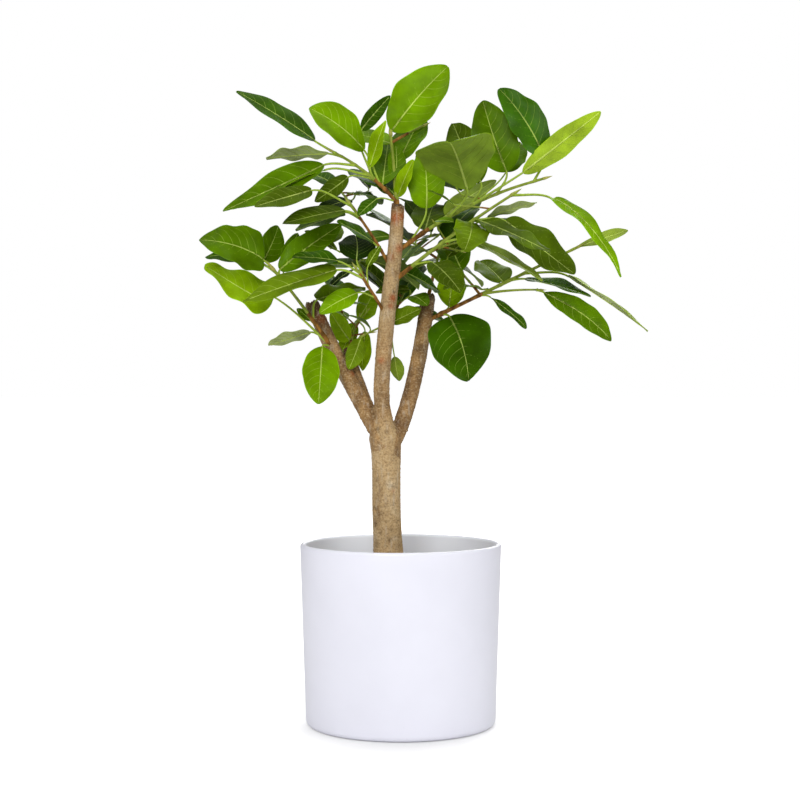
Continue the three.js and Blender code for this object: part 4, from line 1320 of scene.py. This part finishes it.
class Finish:
    """A material under way: its main shader, and the patterns that are laid over it."""

    def __init__(self, name, color, roughness, specular=0.5, coat=0, coat_roughness=0.1):
        self.material = bpy.data.materials.new(name)
        self.material.use_nodes = True
        self.tree = self.material.node_tree
        self.shader = self.tree.nodes["Principled BSDF"]
        self.shader.inputs["Base Color"].default_value = linear(color)
        self.shader.inputs["Roughness"].default_value = roughness
        self.shader.inputs["Specular IOR Level"].default_value = specular
        self.shader.inputs["Coat Weight"].default_value = coat
        self.shader.inputs["Coat Roughness"].default_value = coat_roughness

    def place(self, scale=(1, 1, 1)):
        """Places in object space, in metres, stretched by scale."""
        where = add_node(self.tree, "ShaderNodeTexCoord", {}).outputs["Object"]
        return add_node(self.tree, "ShaderNodeMapping", {"Vector": where, "Scale": scale}).outputs["Vector"]

    def noise(self, place, scale, detail=3, roughness=0.55):
        values = {"Vector": place, "Scale": scale, "Detail": detail, "Roughness": roughness}
        return add_node(self.tree, "ShaderNodeTexNoise", values).outputs["Fac"]

    def cells(self, place, scale, feature="F1"):
        values = {"Vector": place, "Scale": scale}
        return add_node(self.tree, "ShaderNodeTexVoronoi", values, feature=feature).outputs["Distance"]

    def layer(self, name):
        """A value that the mesh holds for each of its points."""
        return add_node(self.tree, "ShaderNodeAttribute", {}, attribute_name=name).outputs["Fac"]

    def ramp(self, value, stops):
        """Colours along a value: stops are (place, colour) pairs."""
        ramp = add_node(self.tree, "ShaderNodeValToRGB", {"Fac": value})
        while len(ramp.color_ramp.elements) < len(stops):
            ramp.color_ramp.elements.new(1)
        for element, (at, color) in zip(ramp.color_ramp.elements, stops):
            element.position = at
            element.color = linear(color)
        return ramp.outputs["Color"]

    def range(self, value, low, high, first=0, last=1):
        return range_node(self.tree, value, low, high, first, last)

    def blend(self, share, first, color):
        """The first pattern where the share is 0, and a display colour or a second pattern where it is 1."""
        second = linear(color) if isinstance(color, tuple) else color
        inputs = {0: share, 6: first, 7: second}
        return add_node(self.tree, "ShaderNodeMix", inputs, data_type="RGBA").outputs[2]

    def paint(self, color):
        self.tree.links.new(color, self.shader.inputs["Base Color"])

    def roughen(self, place, scale, low, high):
        """Uneven roughness from low to high."""
        rough = self.range(self.noise(place, scale, 2), 0.3, 0.7, low, high)
        self.tree.links.new(rough, self.shader.inputs["Roughness"])

    def bump(self, height, distance, strength, under=None):
        """Small relief that shows in the light alone, over the relief under it if there is one."""
        inputs = {"Height": height, "Distance": distance, "Strength": strength}
        if under:
            inputs["Normal"] = under
        bump = add_node(self.tree, "ShaderNodeBump", inputs).outputs["Normal"]
        self.tree.links.new(bump, self.shader.inputs["Normal"])
        return bump


def leaf_material(name, color, roughness, coat, specular=0.03):
    """A leaf's skin: mottled green with a fine net of small veins."""
    skin = Finish(name, color, roughness, specular, coat, 0.22)
    place = skin.place()
    mottle = skin.noise(place, 26, 4)
    base = skin.ramp(mottle, [(0.32, scaled(color, 0.82)), (0.5, color), (0.68, scaled(color, 1.16))])
    net = skin.range(skin.cells(place, 480, "DISTANCE_TO_EDGE"), 0.0, 0.12, 1, 0)
    skin.paint(skin.blend(skin.range(net, 0, 1, 0, 0.12), base, scaled(color, 1.25)))
    skin.roughen(place, 90, roughness - 0.05, roughness + 0.07)
    fine = skin.bump(net, 0.00004, 0.4)
    skin.bump(skin.noise(place, 120, 3), 0.0005, 0.35, fine)
    return skin.material


def leaf_materials(name):
    """A leaf's upper side, its paler under side and the thin margin."""
    greens = LIT_AND_SHADED_TONES[name]
    return [
        leaf_material(f"leaf_{name}_upper", greens["upper"], greens["roughness"], greens["coat"]),
        leaf_material(f"leaf_{name}_under", greens["under"], 0.6, 0, 0.12),
        leaf_material(f"leaf_{name}_margin", scaled(greens["upper"], 1.22), 0.55, 0, 0.12),
    ]


def vein_materials(name):
    """The midrib and the side veins: the leaf's green, drawn toward a pale one."""
    ribs = []
    for part, share in VEIN_SHARES.items():
        green = mix_colors(LIT_AND_SHADED_TONES[name]["upper"], VEIN_GREEN, share)
        ribs.append(leaf_material(f"{part}_{name}_green", green, 0.55, 0, 0.1))
    return ribs


def stem_material(name, low, high, roughness):
    """A green or woody twig: streaks along it and small pale pores."""
    skin = Finish(name, low, roughness, 0.15)
    place = skin.place((1, 1, 0.35))
    base = skin.ramp(skin.noise(place, 190, 4), [(0.35, low), (0.65, high)])
    pores = skin.range(skin.cells(place, 420), 0.1, 0.22, 1, 0)
    skin.paint(skin.blend(skin.range(pores, 0, 1, 0, 0.35), base, scaled(high, 1.25)))
    under = skin.bump(skin.noise(place, 520, 3), 0.0005, 0.5)
    skin.bump(pores, 0.0003, 0.5, under)
    return skin.material


def bark_material():
    """Light tan bark, blotched and speckled, that turns browner and then dark red toward the tips."""
    skin = Finish("bark_tan", BARK_MID, 0.85, 0.15)
    along = skin.place((1, 1, 0.42))
    across = skin.place((0.6, 0.6, 1.8))
    even = skin.place()
    blotches = [(0.34, BARK_DARK), (0.45, BARK_MID), (0.56, scaled(BARK_MID, 1.05)), (0.67, BARK_PALE)]
    trunk = skin.ramp(skin.noise(along, 42, 6, 0.62), blotches)
    bough = skin.ramp(skin.noise(along, 60, 6, 0.62), [(0.38, BOUGH_DARK), (0.6, BOUGH_MID)])
    tip = skin.ramp(skin.noise(even, 110, 5, 0.6), [(0.38, TIP_DARK), (0.62, TIP_MID)])
    age = skin.layer("age")
    color = skin.blend(skin.range(age, 0.08, 0.5, 0, 0.9), trunk, bough)
    color = skin.blend(skin.range(age, 0.84, 1, 0, 0.9), color, tip)
    for patch, patch_color in PATCH_COLORS.items():
        color = skin.blend(skin.layer(patch), color, patch_color)
    grain = skin.noise(even, 430, 5, 0.7)
    wrinkles = skin.noise(across, 120, 5, 0.65)
    streaks = skin.noise(skin.place((1, 1, 0.16)), 240, 4)
    color = skin.blend(skin.range(grain, 0.34, 0.5, 0.62, 0), color, GRAIN_DARK)
    color = skin.blend(skin.range(grain, 0.52, 0.7, 0, 0.5), color, GRAIN_PALE)
    color = skin.blend(skin.range(wrinkles, 0.3, 0.46, 0.45, 0), color, scaled(BARK_DARK, 0.7))
    color = skin.blend(skin.range(streaks, 0.54, 0.7, 0, 0.42), color, STREAK_GREY)
    color = skin.blend(skin.range(skin.cells(across, 170), 0.1, 0.24, 0.55, 0), color, BARK_PALE)
    skin.paint(color)
    coarse = skin.bump(skin.noise(along, 210, 6, 0.65), 0.0022, 0.85)
    skin.bump(grain, 0.0014, 0.7, coarse)
    return skin.material


def cut_material():
    """The weathered wood of the pruned ends, with its rings and cracks."""
    skin = Finish("bark_cut", CUT_MID, 0.9, 0.15)
    place = skin.place()
    shape = {"Vector": place, "Scale": 90, "Distortion": 6}
    rings = add_node(skin.tree, "ShaderNodeTexWave", shape, wave_type="RINGS", rings_direction="SPHERICAL")
    wood = skin.ramp(skin.noise(place, 130, 5, 0.65), [(0.35, CUT_DARK), (0.62, CUT_MID)])
    skin.paint(skin.blend(skin.range(rings.outputs["Fac"], 0, 1, 0, 0.3), wood, CUT_DARK))
    skin.bump(skin.noise(place, 260, 5), 0.0018, 0.8)
    return skin.material


def glaze_material(name, low, high):
    """White glaze: satin, a little uneven, with the faintest specks."""
    skin = Finish(name, low, 0.42, 0.45, 0.25, 0.3)
    place = skin.place()
    base = skin.ramp(skin.noise(place, 9, 3), [(0.3, low), (0.7, high)])
    skin.paint(skin.blend(skin.range(skin.cells(place, 90), 0.035, 0.055, 0.16, 0), base, GLAZE_SPECKS))
    skin.roughen(place, 30, 0.38, 0.48)
    fine = skin.bump(skin.noise(place, 260, 2), 0.0002, 0.25)
    skin.bump(skin.noise(place, 28, 2), 0.0012, 0.25, fine)
    return skin.material


def soil_material(name, dark, light, roughness=0.95):
    skin = Finish(name, dark, roughness, 0.15)
    place = skin.place()
    skin.paint(skin.ramp(skin.noise(place, 140, 6, 0.7), [(0.34, dark), (0.66, light)]))
    skin.bump(skin.noise(place, 330, 6, 0.7), 0.003, 0.9)
    return skin.material


# Assembly

FOLIAGE = sorted(MASSES)


def hand_over(piece, nodes):
    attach(piece, "root")
    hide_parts(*nodes)


def leaf_stations(habit):
    """Where along each twig its leaves stand, for the swellings at their feet."""
    stations = {id(twig): [] for twig in habit["twigs"]}
    for blade in habit["leaves"]:
        apart = [
            (np.linalg.norm(blade["foot"] - point_along(twig["points"], blade["at"])), id(twig))
            for twig in habit["twigs"]
        ]
        stations[min(apart)[1]].append(blade["at"])
    return stations


def dress_foliage(crown):
    """All twigs, stalks, leaves and their veins, each kind one piece over the whole crown."""
    skins = {name: Soup() for name in LIT_AND_SHADED_TONES}
    veins = {name: Soup() for name in LIT_AND_SHADED_TONES}
    stems = {name: Soup() for name in STEMS}
    for mass in FOLIAGE:
        habit = crown.masses[mass]
        stations = leaf_stations(habit)
        for twig in habit["twigs"]:
            add_twig(stems, twig, stations[id(twig)])
    plans = [blade for mass in FOLIAGE for blade in crown.masses[mass]["leaves"]] + crown.late
    for number, plan in enumerate(plans):
        blade = add_habit(plan, number)
        add_blade(skins[blade["tone"]], blade)
        add_veins(veins[blade["tone"]], blade)
        add_stalk(stems["leaf_stalks"], blade)
    # One piece of leaves and one of veins for each tone, each a green with light and shade painted in
    for name, greens in LIT_AND_SHADED_TONES.items():
        hand_over(skins[name].build(f"leaves_{name}", leaf_materials(name)), FOLIAGE)
        hand_over(veins[name].build(f"veins_{name}", vein_materials(name)), FOLIAGE)
    for name, (material, low, high, roughness, slot) in STEMS.items():
        hand_over(stems[name].build(name, [stem_material(material, low, high, roughness)]), FOLIAGE)


def dress_bark(limbs):
    piece = bark_piece(limbs, [bark_material(), cut_material()])
    hand_over(piece, ["trunk", *BOUGHS])


def dress_pot():
    outside = glaze_material("glaze_white", (236, 236, 247), (241, 241, 252))
    # The inside glaze is lighter and bluer than the outside: painted light that lifts the inner wall out of
    # its shade
    inside = glaze_material("glaze_inside_painted_light", (242, 246, 255), (246, 249, 255))
    hand_over(pot_piece([outside, inside]), ["pot"])


def dress_soil():
    bed = soil_material("soil_dark", (72, 62, 54), (118, 104, 90))
    chips = soil_material("chips_brown", (92, 62, 38), (140, 102, 66), 0.85)
    grains = soil_material("grains_pale", (196, 190, 178), (224, 220, 210), 0.8)
    hand_over(soil_piece(bed), ["soil"])
    hand_over(crumb_piece("soil_chips", 420, 31, (2.0, 6.0), chips), ["soil"])
    hand_over(crumb_piece("soil_grains", 160, 77, (1.0, 2.4), grains), ["soil"])


# Studio, in metres

FLOOR_SIZE, FLOOR_DROP = 60, 0.0002
FLOOR_LOW, FLOOR_HIGH = (229, 229, 229), (231, 231, 231)
WORLD_LIGHT = 0.3
# The floor's own glow, weaker round the pot, where its shadow shows
FLOOR_GLOW = 0.86
SHADOW_GLOW = 0.07
SHADOW_REACH = 0.09, 0.3
SHADOW_STRETCH = 1.35, 1, 1
SHADOW_CENTRE = 0, -0.022, 0
# Lamps: place, size and power
LAMPS = {
    "key": ((-0.5, -2.8, 1.8), 1.5, 50), "fill": ((2.4, -1.5, 1.2), 1.8, 17),
    "side": ((-2.4, -0.9, 1.4), 1.8, 9), "top": ((0.1, 0.3, 2.6), 1.6, 24),
    "rim": ((0.6, 2.6, 1.7), 1.6, 32),
}
LAMP_AIM = (0, 0, 0.42)
CAMERA_PLACE = (-0.0009, -2.134, 0.434)
CAMERA_FILM = 36
CAMERA_PITCH = -0.835
CAMERA_LENS = 77.22


def floor_material():
    """The pale studio floor: matt paint with the slightest grain, which glows only for the camera."""
    skin = Finish("floor_white", (250, 250, 250), 0.9, 0.1)
    skin.paint(skin.ramp(skin.noise(skin.place(), 60, 2), [(0.3, FLOOR_LOW), (0.7, FLOOR_HIGH)]))
    ends = {0: skin.place(SHADOW_STRETCH), 1: SHADOW_CENTRE}
    away = add_node(skin.tree, "ShaderNodeVectorMath", ends, operation="DISTANCE").outputs["Value"]
    glow = skin.range(away, *SHADOW_REACH, SHADOW_GLOW, FLOOR_GLOW)
    seen = add_node(skin.tree, "ShaderNodeLightPath", {}).outputs["Is Camera Ray"]
    strength = add_node(skin.tree, "ShaderNodeMath", {0: glow, 1: seen}, operation="MULTIPLY")
    skin.shader.inputs["Emission Color"].default_value = (1, 1, 1, 1)
    skin.tree.links.new(strength.outputs["Value"], skin.shader.inputs["Emission Strength"])
    return skin.material


def lamp(name, at, size, power):
    """A square lamp turned toward the middle of the plant."""
    data = bpy.data.lights.new(name, "AREA")
    data.size = size
    data.energy = power
    light = bpy.data.objects.new(name, data)
    light.location = at
    light.rotation_euler = (Vector(LAMP_AIM) - Vector(at)).to_track_quat("-Z", "Y").to_euler()
    bpy.context.scene.collection.objects.link(light)
    return light


def studio():
    """The floor, the white surroundings and the soft lights."""
    bpy.context.scene.view_settings.view_transform = "Standard"
    bpy.ops.mesh.primitive_plane_add(size=FLOOR_SIZE, location=(0, 0, -FLOOR_DROP))
    floor = bpy.context.object
    floor.name = "studio_floor"
    floor.data.materials.append(floor_material())
    lamps = [lamp(name, *values) for name, values in LAMPS.items()]
    light_world()


def light_world():
    """White surroundings: full white where the camera sees them, softer as light."""
    world = bpy.data.worlds.new("studio")
    world.use_nodes = True
    bpy.context.scene.world = world
    seen = add_node(world.node_tree, "ShaderNodeLightPath", {}).outputs["Is Camera Ray"]
    strength = range_node(world.node_tree, seen, 0, 1, WORLD_LIGHT, 1)
    surroundings = world.node_tree.nodes["Background"]
    surroundings.inputs["Color"].default_value = (1, 1, 1, 1)
    world.node_tree.links.new(strength, surroundings.inputs["Strength"])


def camera():
    """The photo's camera, level with the boughs and tilted down a little."""
    data = bpy.data.cameras.new("camera")
    data.lens = CAMERA_LENS
    data.sensor_width = CAMERA_FILM
    eye = bpy.data.objects.new("camera", data)
    eye.location = CAMERA_PLACE
    eye.rotation_euler = (math.radians(90 + CAMERA_PITCH), 0, 0)
    bpy.context.scene.collection.objects.link(eye)
    bpy.context.scene.camera = eye


LIMBS = {"trunk": trunk_limb(), **{name: bough_limb(bough) for name, bough in BOUGHS.items()}}
CROWN = Crown(LIMBS)
CROWN.grow_named()
CROWN.grow_ruled()
CROWN.grow_finer()
CROWN.grow_late()
dress_foliage(CROWN)
dress_bark(LIMBS)
dress_pot()
dress_soil()
studio()
camera()
